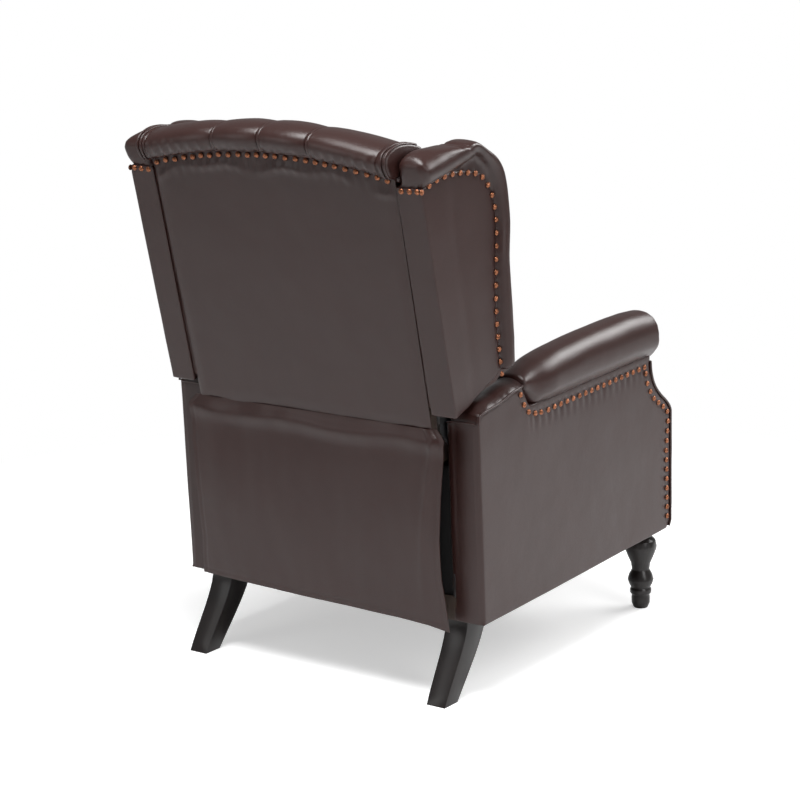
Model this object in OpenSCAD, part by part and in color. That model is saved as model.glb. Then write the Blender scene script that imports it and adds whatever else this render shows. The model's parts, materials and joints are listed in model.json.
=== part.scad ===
// Push-back wingback recliner, in millimetres.
// The chair faces -Y and stands on Z = 0. +X is the sitter's left.
// The upholstered body is tilted a little, because the front legs are taller.
// Body frame: Y = 0 is the plane of the arms' rear faces, Z = 0 the arms' lower edge.
// Back frame: Y = 0 is the outside back's rear face, Z = 0 its lower edge.

/* [Body] */
// Angle that the taller front legs lift the body by, in degrees
body_tilt = 1.7; // [0:0.1:4]
// Height of the arms' rear lower edge above the floor
body_z = 143.1; // [120:0.1:180]
// Clear width between the two arms
inner_w = 562; // [500:2:640]
// Thickness of an arm's upright panel
arm_w = 59; // [50:1:75]
// Length of an arm, from its rear face to its shoulder
arm_len = 664; // [600:2:740]
// Height of an arm at its rear face
post_h = 380; // [350:1:410]

/* [Arm] */
// Height of the shoulder on the arm's front edge
shoulder_h = 236; // [200:1:270]
// Length of an arm at the neck, under the roll
neck_len = 590; // [540:1:610]
// Height of the nailed line under the roll
roll_line_h = 351; // [320:1:360]
// Distance from the rear face to the roll's rear end
roll_start = 150; // [140:1:170]
// Height of the roll's crown above the arm's lower edge
roll_top = 453; // [430:1:470]
// Overhang of the roll past the arm's outer face
roll_over = 17; // [10:1:24]
// Overhang of the roll past the arm's inner face
roll_in = 12; // [6:1:16]
// Thickness of the leather with its board
cover_t = 5; // [3:0.5:7]
// Thickness of the wooden rails and posts
timber_t = 40; // [30:1:46]

/* [Back] */
// Lean of the back against the body, in degrees
back_lean = 10.6; // [6:0.2:14]
// Distance of the outside back's lower edge behind the arms
back_foot_y = 32.2; // [26:0.1:40]
// Height of the outside back's lower edge above the arms' lower edge
back_foot_z = 360.5; // [350:0.5:372]
// Room between an arm's inner face and the outside back's side edge
back_gap = 13; // [9:1:30]
// Height of the nailed line at the middle of the back
back_nail_h = 494; // [470:1:510]
// Fall of the nailed line from the middle to the ends
back_nail_arch = 31; // [10:1:40]
// Height of the crest at the middle of the back
crest_h = 545; // [530:1:570]
// Fall of the crest from the middle to the ends
crest_arch = 30; // [10:1:34]
// Thickness of the back from its rear face to the cushion's front
back_depth = 158; // [140:1:175]
// Number of sewn channels in the back cushion
channels = 4; // [3:1:6]

/* [Wing] */
// Width of a wing from the outside back's side edge to its own outer face
wing_w = 54; // [46:1:60]
// Height of a wing's lower edge above the outside back's lower edge
wing_foot_h = 39; // [34:1:60]
// Height of a wing's top
wing_top_h = 504; // [495:1:515]
// Depth of a wing at its deepest point
wing_depth = 243; // [225:1:250]
// Height of the nailed line on a wing
wing_nail_h = 448; // [430:1:460]
// Overhang of the padded edge past the wing's outer face
wing_roll = 15; // [8:1:18]

/* [Seat] */
// Height of the seat cushion's lower face above the arms' lower edge
seat_low = 210; // [206:1:220]
// Thickness of the seat cushion at its edges
seat_t = 88; // [70:1:92]
// Height of the cushion's crown above its edges
seat_crown = 20; // [10:1:24]
// Distance from the arms' rear face to the cushion's front
seat_front = 640; // [600:1:645]
// Distance from the arms' rear face to the cushion's rear
seat_rear = 84; // [80:1:110]
// Gap between the cushion and an arm
seat_gap = 4; // [2:0.5:8]
// Number of sinuous springs under the cushion
spring_count = 5; // [3:1:7]

/* [Legs] */
// Distance of a front leg's centre from the chair's middle
front_leg_x = 297; // [290:1:310]
// Distance of a front leg's centre from the arms' rear face
front_leg_y = 616; // [580:1:622]
// Radius of a front leg's bulb
front_leg_r = 32; // [24:1:33]
// Distance of a rear leg's outer face from the chair's middle
rear_leg_x = 296; // [290:1:330]
// Width of a rear leg at its top
rear_leg_w = 48; // [40:1:56]
// Width of a rear leg at its foot
rear_foot_w = 39.5; // [34:0.5:48]
// Depth of a rear leg at its top
rear_leg_d = 58; // [45:1:70]
// Distance that a rear leg's foot stands behind its top
rear_leg_kick = 77; // [40:1:90]

/* [Mechanism] */
// Angle that the back reclines by, in degrees
recline = 30; // [26:1:32]
// Distance that the seat slides forward
seat_travel = 65; // [55:1:70]
// Distance of the back's pivot in front of the arms' rear face
pivot_y = 45; // [42:1:50]
// Height of the back's pivot above the arms' lower edge
pivot_z = 378; // [374:1:384]
// Distance from the back's pivot to the seat's drive stud
lever_r = 116; // [112:1:120]
// Distance of the footrest linkage's fixed pivot from the arms' rear face
link_y = 497; // [490:1:505]
// Height of the footrest linkage's fixed pivot
link_z = 22; // [18:1:26]
// Thickness of a steel link
link_t = 3; // [2:0.5:3]
// Width of a steel link
link_w = 18; // [14:1:20]
// Radius of a link's rivet
rivet_r = 4; // [3:0.5:5]
// Radial running clearance of a rivet
run_gap = 0.05; // [0.02:0.01:0.1]

/* [Footrest] */
// Height of the footrest board
rest_h = 170; // [150:1:174]
// Thickness of the footrest board
rest_board_t = 16; // [12:1:18]
// Thickness of the footrest's padding
rest_pad_t = 42; // [30:1:44]
// Gap between the footrest and an arm
rest_gap = 5; // [3:0.5:10]

/* [Nails] */
// Diameter of a decorative nail's head
nail_d = 10.8; // [8:0.2:12]
// Height of a decorative nail's head
nail_h = 3; // [2:0.2:4]
// Distance between neighbouring nails along the arm's roll
nail_pitch = 22; // [16:1:30]

/* [Hidden] */

leather = "#4b3d3b";
copper = "#b5714d";
espresso = "#2a2423";
steel = "#8f9296";
timber = "#c8a77a";
webbing = "#3b3b3d";

// Half of the clear width between the arms, and the distance to an arm's outer face
inner_half = inner_w / 2;
outer_half = inner_half + arm_w;
back_half_w = inner_half - back_gap;
wing_half_w = back_half_w + wing_w;
// Farthest points of the front and the rear, which the chair's origin lies midway between
facing_w = arm_len * 0.012;
arm_foot_len = arm_len * 0.99;
foot_round = arm_w * 0.2;
roll_back = back_depth * 0.17;
roll_back_share = 0.5931;
function ahead(front, height) = front * cos(body_tilt) - height * sin(body_tilt);
front_reach = max(ahead(arm_len + facing_w, shoulder_h), ahead(arm_foot_len + facing_w, foot_round));
bulge_h = back_nail_h + (crest_h - back_nail_h) * roll_back_share;
rear_reach = -ahead(-back_foot_y - roll_back * cos(back_lean) - bulge_h * sin(back_lean),
    back_foot_z - roll_back * sin(back_lean) + bulge_h * cos(back_lean));
// Distance of the body frame's origin behind the origin of the chair
body_y = (front_reach - rear_reach) / 2;
// Lift of the body at a distance in front of its rear edge
function lift(front) = front * sin(body_tilt);
// Clearance between pieces that move against each other
move_gap = 3;
// Gap that keeps a soft face off what lies beside it
soft_gap = 0.3;
// Overrun of a cut past the face that it opens
over = 1;
// Facets of a round part
round_fn = 48;
// Back frame's posts and rails, in the back's frame
rail_w = 22;
rail_h = 20;
back_post_out = back_half_w - link_t * 2;
back_post_in = back_post_out - rail_w;
back_frame_d = back_depth * 0.38;
back_low = -back_foot_z * 0.21;
back_frame_top = back_nail_h - back_nail_arch * 1.5;
roll_half_w = back_half_w * 1.03;
// The wing padding's inner face beside the cushion's front
pad_in = back_post_out - cover_t * 1.2;

module in_body() {
    translate([0, body_y, body_z])
        rotate([-body_tilt, 0, 0])
            children();
}

module in_back() {
    in_body()
        translate([0, back_foot_y, back_foot_z])
            rotate([-back_lean, 0, 0])
                children();
}

// Copies children to the other side of the chair as well
module both_sides() {
    children();
    mirror([1, 0, 0]) children();
}

// Moves children to the sitter's left or right
module on_side(left) {
    mirror([left ? 0 : 1, 0, 0]) children();
}

// A plate in the plane of the chair's side: outline in [depth, height], between two distances from the middle
module side_plate(from_x, to_x, outline) {
    translate([from_x, 0, 0])
        rotate([90, 0, 90])
            linear_extrude(to_x - from_x)
                polygon(outline);
}

// A round bar across the chair, at a depth and a height
module cross_bar(from_x, to_x, y, z, r) {
    translate([from_x, y, z])
        rotate([0, 90, 0])
            cylinder(r = r, h = to_x - from_x, $fn = round_fn);
}

// A box between two corners
module block(low, high) {
    translate(low) cube([high[0] - low[0], high[1] - low[1], high[2] - low[2]]);
}

// A closed skin over rings of points, each ring turning the right-handed way about the direction of the rings
module skin(rings) {
    n = len(rings[0]);
    m = len(rings);
    sides = [for (i = [0 : m - 2], j = [0 : n - 1]) each let (k = (j + 1) % n) [
        [i * n + j, i * n + n + j, i * n + n + k],
        [i * n + j, i * n + n + k, i * n + k]
    ]];
    last = (m - 1) * n;
    polyhedron([for (ring = rings) each ring], concat(
        sides,
        cap(n),
        [for (f = cap(n)) [f[2] + last, f[1] + last, f[0] + last]]), convexity = 6);
}

// Faces that close a ring: each point on the way up joins the point opposite on the way down
function cap(n) = let (half = floor(n / 2)) concat(
    [for (j = [1 : half - 1]) each [[j, j + 1, n - j], [j, n - j, (n - j + 1) % n]]],
    n % 2 == 0 ? [] : [[half, half + 1, half + 2]]);

function mix(a, b, t) = a + (b - a) * t;
function bezier(a, b, c, d, t) = a * pow(1 - t, 3) + b * 3 * t * pow(1 - t, 2) + c * 3 * t * t * (1 - t)
    + d * pow(t, 3);
// Power of a sine or cosine that keeps its sign, for rounded squares
function soft_sin(a, p) = sign(sin(a)) * pow(abs(sin(a)), p);
function soft_cos(a, p) = sign(cos(a)) * pow(abs(cos(a)), p);

// Arm outline, from the roll's neck to the foot of its front edge
s_steps = 10;
neck = [-neck_len, roll_line_h];
shoulder = [-arm_len, shoulder_h];
s_drop = roll_line_h - shoulder_h;
s_push = arm_len - neck_len;
function s_curve(inset) = [for (i = [0 : s_steps])
    bezier(neck + [inset, 0], neck + [inset, -s_drop * 0.64],
        shoulder + [inset + s_push * 0.16, s_drop * 0.31],
        shoulder + [inset, 0], i / s_steps)];
// Rear top of the arm, from the post to the roll
rear_top_y = arm_len * 0.11;
rear_top_h = post_h + arm_len * 0.02;
roll_rear_h = post_h + arm_len * 0.039;
pad_seam_y = roll_start * 0.93;
pad_seam_h = post_h + arm_len * 0.018;
function arm_outline(inset) = concat(
    [[-inset, 0], [-inset, post_h - inset], [-rear_top_y, rear_top_h - inset],
        [-roll_start + inset, roll_rear_h - inset],
     [-pad_seam_y - inset, pad_seam_h - inset], [-roll_start - nail_pitch * 0.75 - inset, roll_line_h]],
    s_curve(inset),
    [[-arm_foot_len + inset, foot_round], [-arm_foot_len + inset + foot_round, 0]]
);

module arm_posts(left) {
    post_x = inner_half + cover_t;
    post_top = post_h - cover_t;
    color(timber) in_body() on_side(left) {
        side_plate(post_x, outer_half - cover_t,
            [[-cover_t, 0], [-cover_t, post_top], [-cover_t - timber_t, post_top], [-cover_t - timber_t, 0]]);
        difference() {
            side_plate(post_x, outer_half - cover_t, concat(
                [[-neck_len + timber_t, 0], [-neck_len + timber_t, roll_line_h]],
                s_curve(cover_t),
                [[-arm_foot_len + cover_t, foot_round], [-arm_foot_len + cover_t + foot_round, 0]]));
            leg_bolt_hole(front_leg_x, front_leg_y);
        }
    }
}

// Hole for a leg's bolt, up from the body's lower face and down into the leg
module leg_bolt_hole(x, y) {
    translate([x, -y, -bolt_deep])
        cylinder(r = bolt_r + run_gap, h = 2 * bolt_deep, $fn = round_fn);
}

module arm_rails(left) {
    rail_x = inner_half + cover_t;
    rail_rear = -cover_t - timber_t;
    rail_front = -neck_len + timber_t;
    color(timber) in_body() on_side(left) {
        block([rail_x, rail_front, 0], [outer_half - cover_t, rail_rear, timber_t]);
        block([rail_x, rail_front, roll_line_h - timber_t], [outer_half - cover_t, rail_rear, roll_line_h]);
    }
}

module arm_cover(left) {
    color(leather) in_body() on_side(left) {
        side_plate(outer_half - cover_t, outer_half, arm_outline(0));
        side_plate(inner_half, inner_half + cover_t, arm_outline(0));
        block([inner_half + cover_t, -cover_t, 0], [outer_half - cover_t, 0, post_h - cover_t]);
        side_plate(inner_half + cover_t, outer_half - cover_t,
            [[0, post_h - cover_t], [0, post_h], [-rear_top_y, rear_top_h], [-roll_start, roll_rear_h],
             [-roll_start, roll_rear_h - cover_t], [-rear_top_y, rear_top_h - cover_t],
                 [-cover_t, post_h - cover_t]]);
    }
}

// Leather facing on the arm's front edge, standing a little proud of the side
facing_proud = cover_t * 0.3;
module arm_front(left) {
    outer = s_curve(0);
    color(leather) in_body() on_side(left)
        side_plate(inner_half + soft_gap, outer_half + facing_proud, concat(
            [for (p = outer) p],
            [[-arm_foot_len, foot_round], [-arm_foot_len - facing_w, foot_round]],
            [for (i = [s_steps : -1 : 0]) outer[i] - [facing_w, 0]]));
}

// Padded roll along the top of the arm: rings run forward
roll_rings = 12;
roll_points = 22;
roll_crown_shares = [0.74, 0.86, 0.92, 0.95, 0.97, 1, 1, 1, 0.99, 0.96, 0.88, 0.72, 0.5];
function roll_ring(i) = let (
        t = i / roll_rings,
        y = -mix(roll_start + soft_gap, neck_len + facing_w, t),
        crown = roll_line_h + (roll_top - roll_line_h) * roll_crown_shares[i],
        low = i < 1 ? roll_line_h + s_drop * 0.3 : roll_line_h,
        mid_h = mix(low, crown, 0.52),
        half_h = (crown - low) / 2,
        full = i == roll_rings ? 0.8 : 1,
        half_w = (arm_w + roll_over + roll_in) / 2 * full,
        mid_x = inner_half - roll_in + (arm_w + roll_over + roll_in) / 2
    ) [for (j = [0 : roll_points - 1]) let (a = 360 * j / roll_points) [
        mid_x + half_w * (sin(a) > -0.3 ? 1 : 0.84) * soft_cos(a, 0.8),
        y - (i == roll_rings ? facing_w * 0.4 : 0),
        max(low, mix(low, crown, 0.5) + half_h * soft_sin(a, 0.8))
    ]];

module arm_roll(left) {
    color(leather) in_body() on_side(left)
        skin([for (i = [roll_rings : -1 : 0]) [for (j = [roll_points - 1 : -1 : 0]) roll_ring(i)[j]]]);
}

// One decorative nail: a domed head on a face that looks along +Z
nail_sphere_r = (nail_d * nail_d / 4 + nail_h * nail_h) / (2 * nail_h);
module nail() {
    difference() {
        translate([0, 0, nail_h - nail_sphere_r]) sphere(r = nail_sphere_r, $fn = round_fn);
        translate([-nail_sphere_r - over, -nail_sphere_r - over, -2 * nail_sphere_r])
            cube([2 * nail_sphere_r + 2 * over, 2 * nail_sphere_r + 2 * over, 2 * nail_sphere_r]);
    }
}

// A nail on a side face at a distance from the middle
module side_nail(x, y, z) {
    translate([x, y, z]) rotate([0, 90, 0]) nail();
}

// A nail on the outside back's face
module rear_nail(x, z) {
    translate([x, 0, z]) rotate([-90, 0, 0]) nail();
}

// Points spaced evenly along a polyline
function leg_length(path, i) = norm(path[i + 1] - path[i]);
function path_length(path, i = 0) = i > len(path) - 2 ? 0 : leg_length(path, i) + path_length(path, i + 1);
function path_point(path, d, i = 0) =
    i >= len(path) - 2 || d <= leg_length(path, i)
        ? mix(path[i], path[i + 1], min(1, d / leg_length(path, i)))
        : path_point(path, d - leg_length(path, i), i + 1);
function spaced(path, count) = [for (i = [0 : count - 1])
    path_point(path, path_length(path) * i / max(1, count - 1))];

// Nail lines of an arm: up the roll's rear end, along the roll, round the front curve and down
nail_in = nail_d * 0.9;
arm_top_line = [[-roll_start - nail_pitch * 0.75, roll_line_h - nail_in * 0.65],
    [-neck_len + nail_in * 1.4, roll_line_h - nail_in * 0.65]];
arm_rear_line = [[-pad_seam_y + nail_in * 0.6, pad_seam_h - nail_in * 0.2],
    arm_top_line[0] + [nail_pitch * 0.4, nail_pitch * 0.6]];
arm_front_line = concat([for (p = s_curve(nail_in * 1.1)) p - [0, nail_in]],
    [[-arm_foot_len + nail_in * 1.4, foot_round * 1.6]]);
module arm_nails(left) {
    top_count = floor(path_length(arm_top_line) / nail_pitch) + 1;
    front_count = floor(path_length(arm_front_line) / nail_pitch) + 1;
    color(copper) in_body() on_side(left) {
        for (p = spaced(arm_top_line, top_count)) side_nail(outer_half, p[0], p[1]);
        for (p = spaced(arm_rear_line, 3)) side_nail(outer_half, p[0], p[1]);
        for (p = spaced(arm_front_line, front_count)) side_nail(outer_half, p[0], p[1]);
    }
}

// Stretchers between the arms, below and behind the mechanism
rail_low_t = 8;
front_rail_y = neck_len * 0.74;
front_rail_w = 60;
module front_rail() {
    color(timber) in_body()
        block([-inner_half, -front_rail_y, 0], [inner_half, -front_rail_y + front_rail_w, rail_low_t]);
}

rear_rail_t = 18;
rear_rail_h = 44;
corner_w = 38;
corner_d = 60;
rear_bolt_x = inner_half - corner_w / 2;
rear_bolt_y = rear_rail_t + corner_d / 2;
module rear_rail() {
    color(timber) in_body() {
        block([-inner_half, -rear_rail_t, 0], [inner_half, 0, rear_rail_h]);
        both_sides() difference() {
            block([inner_half - corner_w, -rear_rail_t - corner_d, 0], [inner_half, -rear_rail_t, bolt_deep]);
            leg_bolt_hole(rear_bolt_x, rear_bolt_y);
        }
    }
}

// Front leg: turned, with a bulb at the top, a bead, a ring and a tapered foot
bolt_r = 4;
bolt_deep = 30;
front_leg_h = body_z + lift(front_leg_y);
leg_profile_shares = [
    [0.43, 0], [0.56, 0.06], [0.57, 0.13], [0.54, 0.165], [0.65, 0.19], [0.66, 0.235], [0.58, 0.26],
        [0.7, 0.3],
    [0.8, 0.36], [0.72, 0.42], [0.54, 0.49], [0.6, 0.57], [0.8, 0.66], [0.97, 0.75], [1, 0.79], [0.92, 0.86],
    [0.68, 0.91], [0.72, 0.93], [0.86, 0.94], [0.86, 1]
];
module front_leg(left) {
    color(espresso) on_side(left) difference() {
        translate([front_leg_x, leg_world_y, 0])
            rotate_extrude($fn = round_fn)
                polygon(concat([[0, 0]], [for (p = leg_profile_shares) [p[0] * front_leg_r,
                    p[1] * front_leg_h]], [[0, front_leg_h]]));
        in_body() block([0, -arm_len - timber_t, 0], [outer_half + timber_t, timber_t, timber_t]);
        in_body() leg_bolt_hole(front_leg_x, front_leg_y);
    }
}
leg_world_y = body_y - front_leg_y * cos(body_tilt);

// Rear leg: a sabre that curves rearwards to its foot
rear_top_front = rear_leg_d + timber_t * 0.6;
rear_foot_d = rear_leg_w * 0.84;
module rear_leg(left) {
    top_z = body_z + lift(rear_top_front) + over;
    top_rear = [body_y - timber_t * 0.3, body_z];
    foot_rear = [body_y + rear_leg_kick * 0.85 - timber_t * 0.02, 0];
    top_front = [body_y - timber_t * 0.3 - rear_leg_d, body_z];
    foot_front = foot_rear - [rear_foot_d, 0];
    bend = [0, rear_leg_kick * 0.62];
    rear_edge = [for (i = [0 : s_steps])
        bezier(top_rear, top_rear - bend * 0.8, foot_rear + bend * 1.1 - [bend[1] * 0.6, 0], foot_rear,
        i / s_steps)];
    front_edge = [for (i = [s_steps : -1 : 0])
        bezier(top_front, top_front - bend * 0.8, foot_front + bend * 0.9 - [bend[1] * 0.7, 0],
        foot_front, i / s_steps)];
    color(espresso) on_side(left) difference() {
        intersection() {
            side_plate(rear_leg_x - rear_leg_w, rear_leg_x, concat(
                [top_rear + [0, top_z - body_z]], rear_edge, front_edge, [top_front + [0, top_z - body_z]]));
            translate([0, body_y + arm_len, 0])
                rotate([90, 0, 0])
                    linear_extrude(2 * arm_len)
                        polygon([[rear_leg_x - rear_leg_w, top_z], [rear_leg_x, top_z], [rear_leg_x, 0],
                            [rear_leg_x - rear_foot_w, 0]]);
        }
        in_body() block([0, -arm_len, 0], [outer_half + timber_t, timber_t, timber_t]);
        in_body() leg_bolt_hole(rear_bolt_x, rear_bolt_y);
    }
}

// Bolts that hold the legs: one shank per leg, up into the front post or the corner block
module leg_bolts() {
    color(steel) in_body() both_sides() for (p = [[front_leg_x, front_leg_y], [rear_bolt_x, rear_bolt_y]])
        translate([p[0], -p[1], -bolt_deep])
            cylinder(r = bolt_r, h = 2 * bolt_deep - over, $fn = round_fn);
}

// Footrest linkage: two families of parallel links, so every closed loop is a parallelogram
rear_angle = 86;
rear_turn = -44;
cross_angle = -70;
cross_turn = 90;
rear_lower = 85;
rear_upper = 64;
cross_tail = 62;
cross_upper = 93;
lower_end = 64;
upper_end = 88;
function along(angle) = [cos(angle), sin(angle)];
link_base = [link_y, link_z];
rear_dir = along(rear_angle);
cross_dir = along(cross_angle);
pin_mid = link_base + rear_lower * rear_dir;
pin_top = link_base + (rear_lower + rear_upper) * rear_dir;
pin_stud = pin_mid - cross_tail * cross_dir;
pin_low = pin_mid + cross_upper * cross_dir;
pin_cross = pin_top + cross_upper * cross_dir;
pin_end = pin_cross + lower_end * cross_dir;
pin_rest = pin_low + (rear_upper + upper_end) * rear_dir;
pin_control = pin_rest + lower_end * cross_dir;
// Place of the drive stud at a share of the travel, in the seat's own frame
function stud_at(t) = link_base + rear_lower * along(rear_angle + rear_turn * t)
    - cross_tail * along(cross_angle + cross_turn * t);

// Planes of the mechanism, counted inward from the arm's inner face
plate_t = link_t;
base_out = inner_half;
base_in = base_out - plate_t;
seat_out = base_in - move_gap - plate_t * 0.3;
seat_in = seat_out - plate_t;
cross_out = seat_in - plate_t * 0.6;
cross_in = cross_out - link_t;
rear_out = cross_in - plate_t * 0.6;
rear_in = rear_out - link_t;

// A point of the linkage as a place in the side view: forward distance becomes -Y
module pin_at(p, from_x, to_x, r) {
    cross_bar(from_x, to_x, -p[0], p[1], r);
}

// A straight link between two points, with round ends
module link(a, b, from_x, to_x) {
    half = link_w / 2;
    along_link = (b - a) / norm(b - a);
    across = half * [along_link[1], -along_link[0]];
    translate([from_x, 0, 0])
        rotate([90, 0, 90])
            linear_extrude(to_x - from_x)
                mirror([1, 0]) {
                    polygon([a + across, b + across, b - across, a - across]);
                    for (p = [a, b]) translate(p) circle(r = half, $fn = round_fn);
                }
}

module hole_at(p, from_x, to_x) {
    pin_at(p, from_x - over, to_x + over, rivet_r + run_gap);
}

// A rivet that stands in from a link of the outer plane, through the link of the inner plane
rivet_root = link_t / 3;
module rivet(p) {
    pin_at(p, rear_in, cross_in + rivet_root, rivet_r);
}

// A long slot with round ends
module slot_cut(a, b, from_x, to_x, r) {
    d = b - a;
    angle = atan2(d[1], -d[0]);
    pin_at(a, from_x - over, to_x + over, r);
    pin_at(b, from_x - over, to_x + over, r);
    translate([from_x - over, -a[0], a[1]])
        rotate([angle, 0, 0])
            translate([0, 0, -r])
                cube([to_x - from_x + 2 * over, norm(d), 2 * r]);
}

// A slot for the linkage's stud along a path: up one side, round the end and down the other side
path_steps = 8;
slot_end_steps = 8;
function path_angle(points, i) =
    let (a = points[max(i - 1, 0)], b = points[min(i + 1, path_steps)]) atan2(b[1] - a[1], b[0] - a[0]);
function slot_side(points, i, turn, r) = points[i] + r * along(path_angle(points, i) + turn);
function slot_round(points, i, turn, r) =
    [for (k = [1 : slot_end_steps - 1]) slot_side(points, i, turn + 180 * k / slot_end_steps, r)];
function slot_outline(points, r) = concat(
    [for (i = [0 : path_steps]) slot_side(points, i, -90, r)], slot_round(points, path_steps, -90, r),
    [for (i = [0 : path_steps]) slot_side(points, path_steps - i, 90, r)], slot_round(points, 0, 90, r));
module path_slot(points, from_x, to_x) {
    side_plate(from_x - over, to_x + over,
        [for (p = slot_outline(points, stud_r + stud_play)) [-p[0], p[1]]]);
}

stud_r = 5;
stud_play = 2.2;
roller_r = 9;
roller_play = 0.4;
roller_rear = [130, 150];
roller_front = [330, 150];
travel = [seat_travel, 0];
plate_low = 120;
plate_top = seat_low - 24;
bracket_r = 14;

// Steel side plate screwed to the arm: roller slots, the footrest's cam slot and the back's pivot
module base_plate(left) {
    color(steel) in_body() on_side(left) difference() {
        union() {
            side_plate(base_in, base_out, [
                [-pivot_y + bracket_r * 1.3, plate_low], [-pivot_y + bracket_r * 1.3, pivot_z],
                [-pivot_y - bracket_r * 1.3, pivot_z], [-pivot_y - bracket_r * 1.3, plate_top],
                [-stud_at(1)[0] - travel[0] - bracket_r, plate_top],
                [-stud_at(1)[0] - travel[0] - bracket_r, stud_at(1)[1] - bracket_r * 1.2],
                [-stud_at(0)[0], stud_at(1)[1] - bracket_r * 1.2],
                    [-stud_at(0)[0] + bracket_r * 2, plate_low]]);
            pin_at([pivot_y, pivot_z], base_in, base_out, bracket_r * 1.3);
            side_plate(base_in, base_out, [
                [0, rear_rail_h], [0, rear_rail_h * 2], [-pivot_y, plate_low + bracket_r],
                [-pivot_y - bracket_r * 3, plate_low], [-rear_rail_t, rear_rail_h]]);
        }
        slot_cut(roller_rear, roller_rear + travel, base_in, base_out, roller_r + roller_play);
        slot_cut(roller_front, roller_front + travel, base_in, base_out, roller_r + roller_play);
        path_slot([for (k = [0 : path_steps]) stud_at(k / path_steps) + travel * k / path_steps],
            base_in, base_out);
        for (p = base_screw_points) pin_at(p, base_in - over, base_out + over, screw_r + run_gap);
    }
}

screw_r = 2.5;
screw_head_r = 5;
screw_head_t = 1.6;
base_screw_points = [[pivot_y + bracket_r * 3, plate_top - bracket_r * 0.8],
    [roller_front[0] - travel[0], plate_top - bracket_r * 0.8],
    [stud_at(0)[0] - bracket_r * 2, plate_top - bracket_r * 0.8]];
module base_plate_screws() {
    color(steel) in_body() both_sides() for (p = base_screw_points) {
        pin_at(p, base_in - screw_head_t, base_in, screw_head_r);
        pin_at(p, base_in - screw_head_t, base_out, screw_r);
    }
}

// Pivot bolts of the back, welded to the base plates, with a collar that spaces the back's bracket
back_bracket_out = seat_in - plate_t;
back_bracket_in = back_post_out;
module back_pivot_bolts() {
    color(steel) in_body() both_sides() {
        pin_at([pivot_y, pivot_z], back_bracket_out + soft_gap, base_in, stud_r * 2);
        pin_at([pivot_y, pivot_z], back_bracket_in + soft_gap, base_in, stud_r);
    }
}

// Seat side plate: carries the linkage's fixed pivot, the rollers and the stud that the back's bracket drives
seat_stud = [pivot_y, pivot_z - lever_r];
module seat_plate(left) {
    mid = stud_at(0.5);
    color(steel) in_body() on_side(left) difference() {
        union() {
            side_plate(seat_in, seat_out, [
                [-seat_stud[0] + bracket_r, plate_low + bracket_r], [-seat_stud[0] + bracket_r, seat_stud[1]],
                [-seat_stud[0] - bracket_r, seat_stud[1]], [-seat_stud[0] - bracket_r, plate_top],
                [-stud_at(1)[0] - bracket_r * 1.6, plate_top],
                    [-link_base[0] - bracket_r * 1.9, link_base[1] + bracket_r],
                [-link_base[0] - link_w / 2, link_base[1]], [-link_base[0] + link_w / 2, link_base[1]],
                [-mid[0] + bracket_r * 1.6, plate_low]]);
            pin_at(seat_stud, seat_in, seat_out, bracket_r);
            pin_at(link_base, seat_in, seat_out, link_w / 2);
            pin_at(seat_stud, back_bracket_in + soft_gap, seat_in, stud_r);
            pin_at(link_base, rear_in, seat_in, rivet_r);
            pin_at(link_base, rear_out + soft_gap, seat_in, rivet_r * 1.7);
        }
        path_slot([for (k = [0 : path_steps]) stud_at(k / path_steps)], seat_in, seat_out);
    }
}

module seat_rollers() {
    color(webbing) in_body() both_sides() for (p = [roller_rear, roller_front])
        pin_at(p, seat_out, base_out - soft_gap, roller_r);
}

rail_front = seat_front * 0.89;
rail_rear = seat_rear * 1.1;
module seat_side_rails() {
    color(timber) in_body() both_sides()
        block([seat_in - rail_w, -rail_front, plate_top], [seat_in, -rail_rear, plate_top + rail_h]);
}

module seat_cross_rails() {
    rail_x = seat_in - rail_w;
    color(timber) in_body() {
        block([-rail_x, -rail_front, plate_top], [rail_x, -rail_front + 2 * rail_w, plate_top + rail_h]);
        block([-rail_x, -rail_rear - 2 * rail_w, plate_top], [rail_x, -rail_rear, plate_top + rail_h]);
    }
}

// Sinuous springs: flat zigzag wires from the rear rail to the front rail
wire_t = 3.4;
zig_w = 38;
zigs = 18;
module seat_springs() {
    span = rail_front - rail_rear - rail_w;
    step = span / zigs;
    spacing = (2 * (seat_in - rail_w) - zig_w) / spring_count;
    function zig(i, side) = [(i % 2 == 0 ? -0.5 : 0.5) * zig_w + side * wire_t / 2,
        -rail_rear - rail_w / 2 - i * step];
    color(steel) in_body() for (k = [0 : spring_count - 1])
        translate([(k - (spring_count - 1) / 2) * spacing, 0, plate_top + rail_h])
            linear_extrude(wire_t)
                polygon(concat([for (i = [0 : zigs]) zig(i, -1)], [for (i = [zigs : -1 : 0]) zig(i, 1)]));
}

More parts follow.
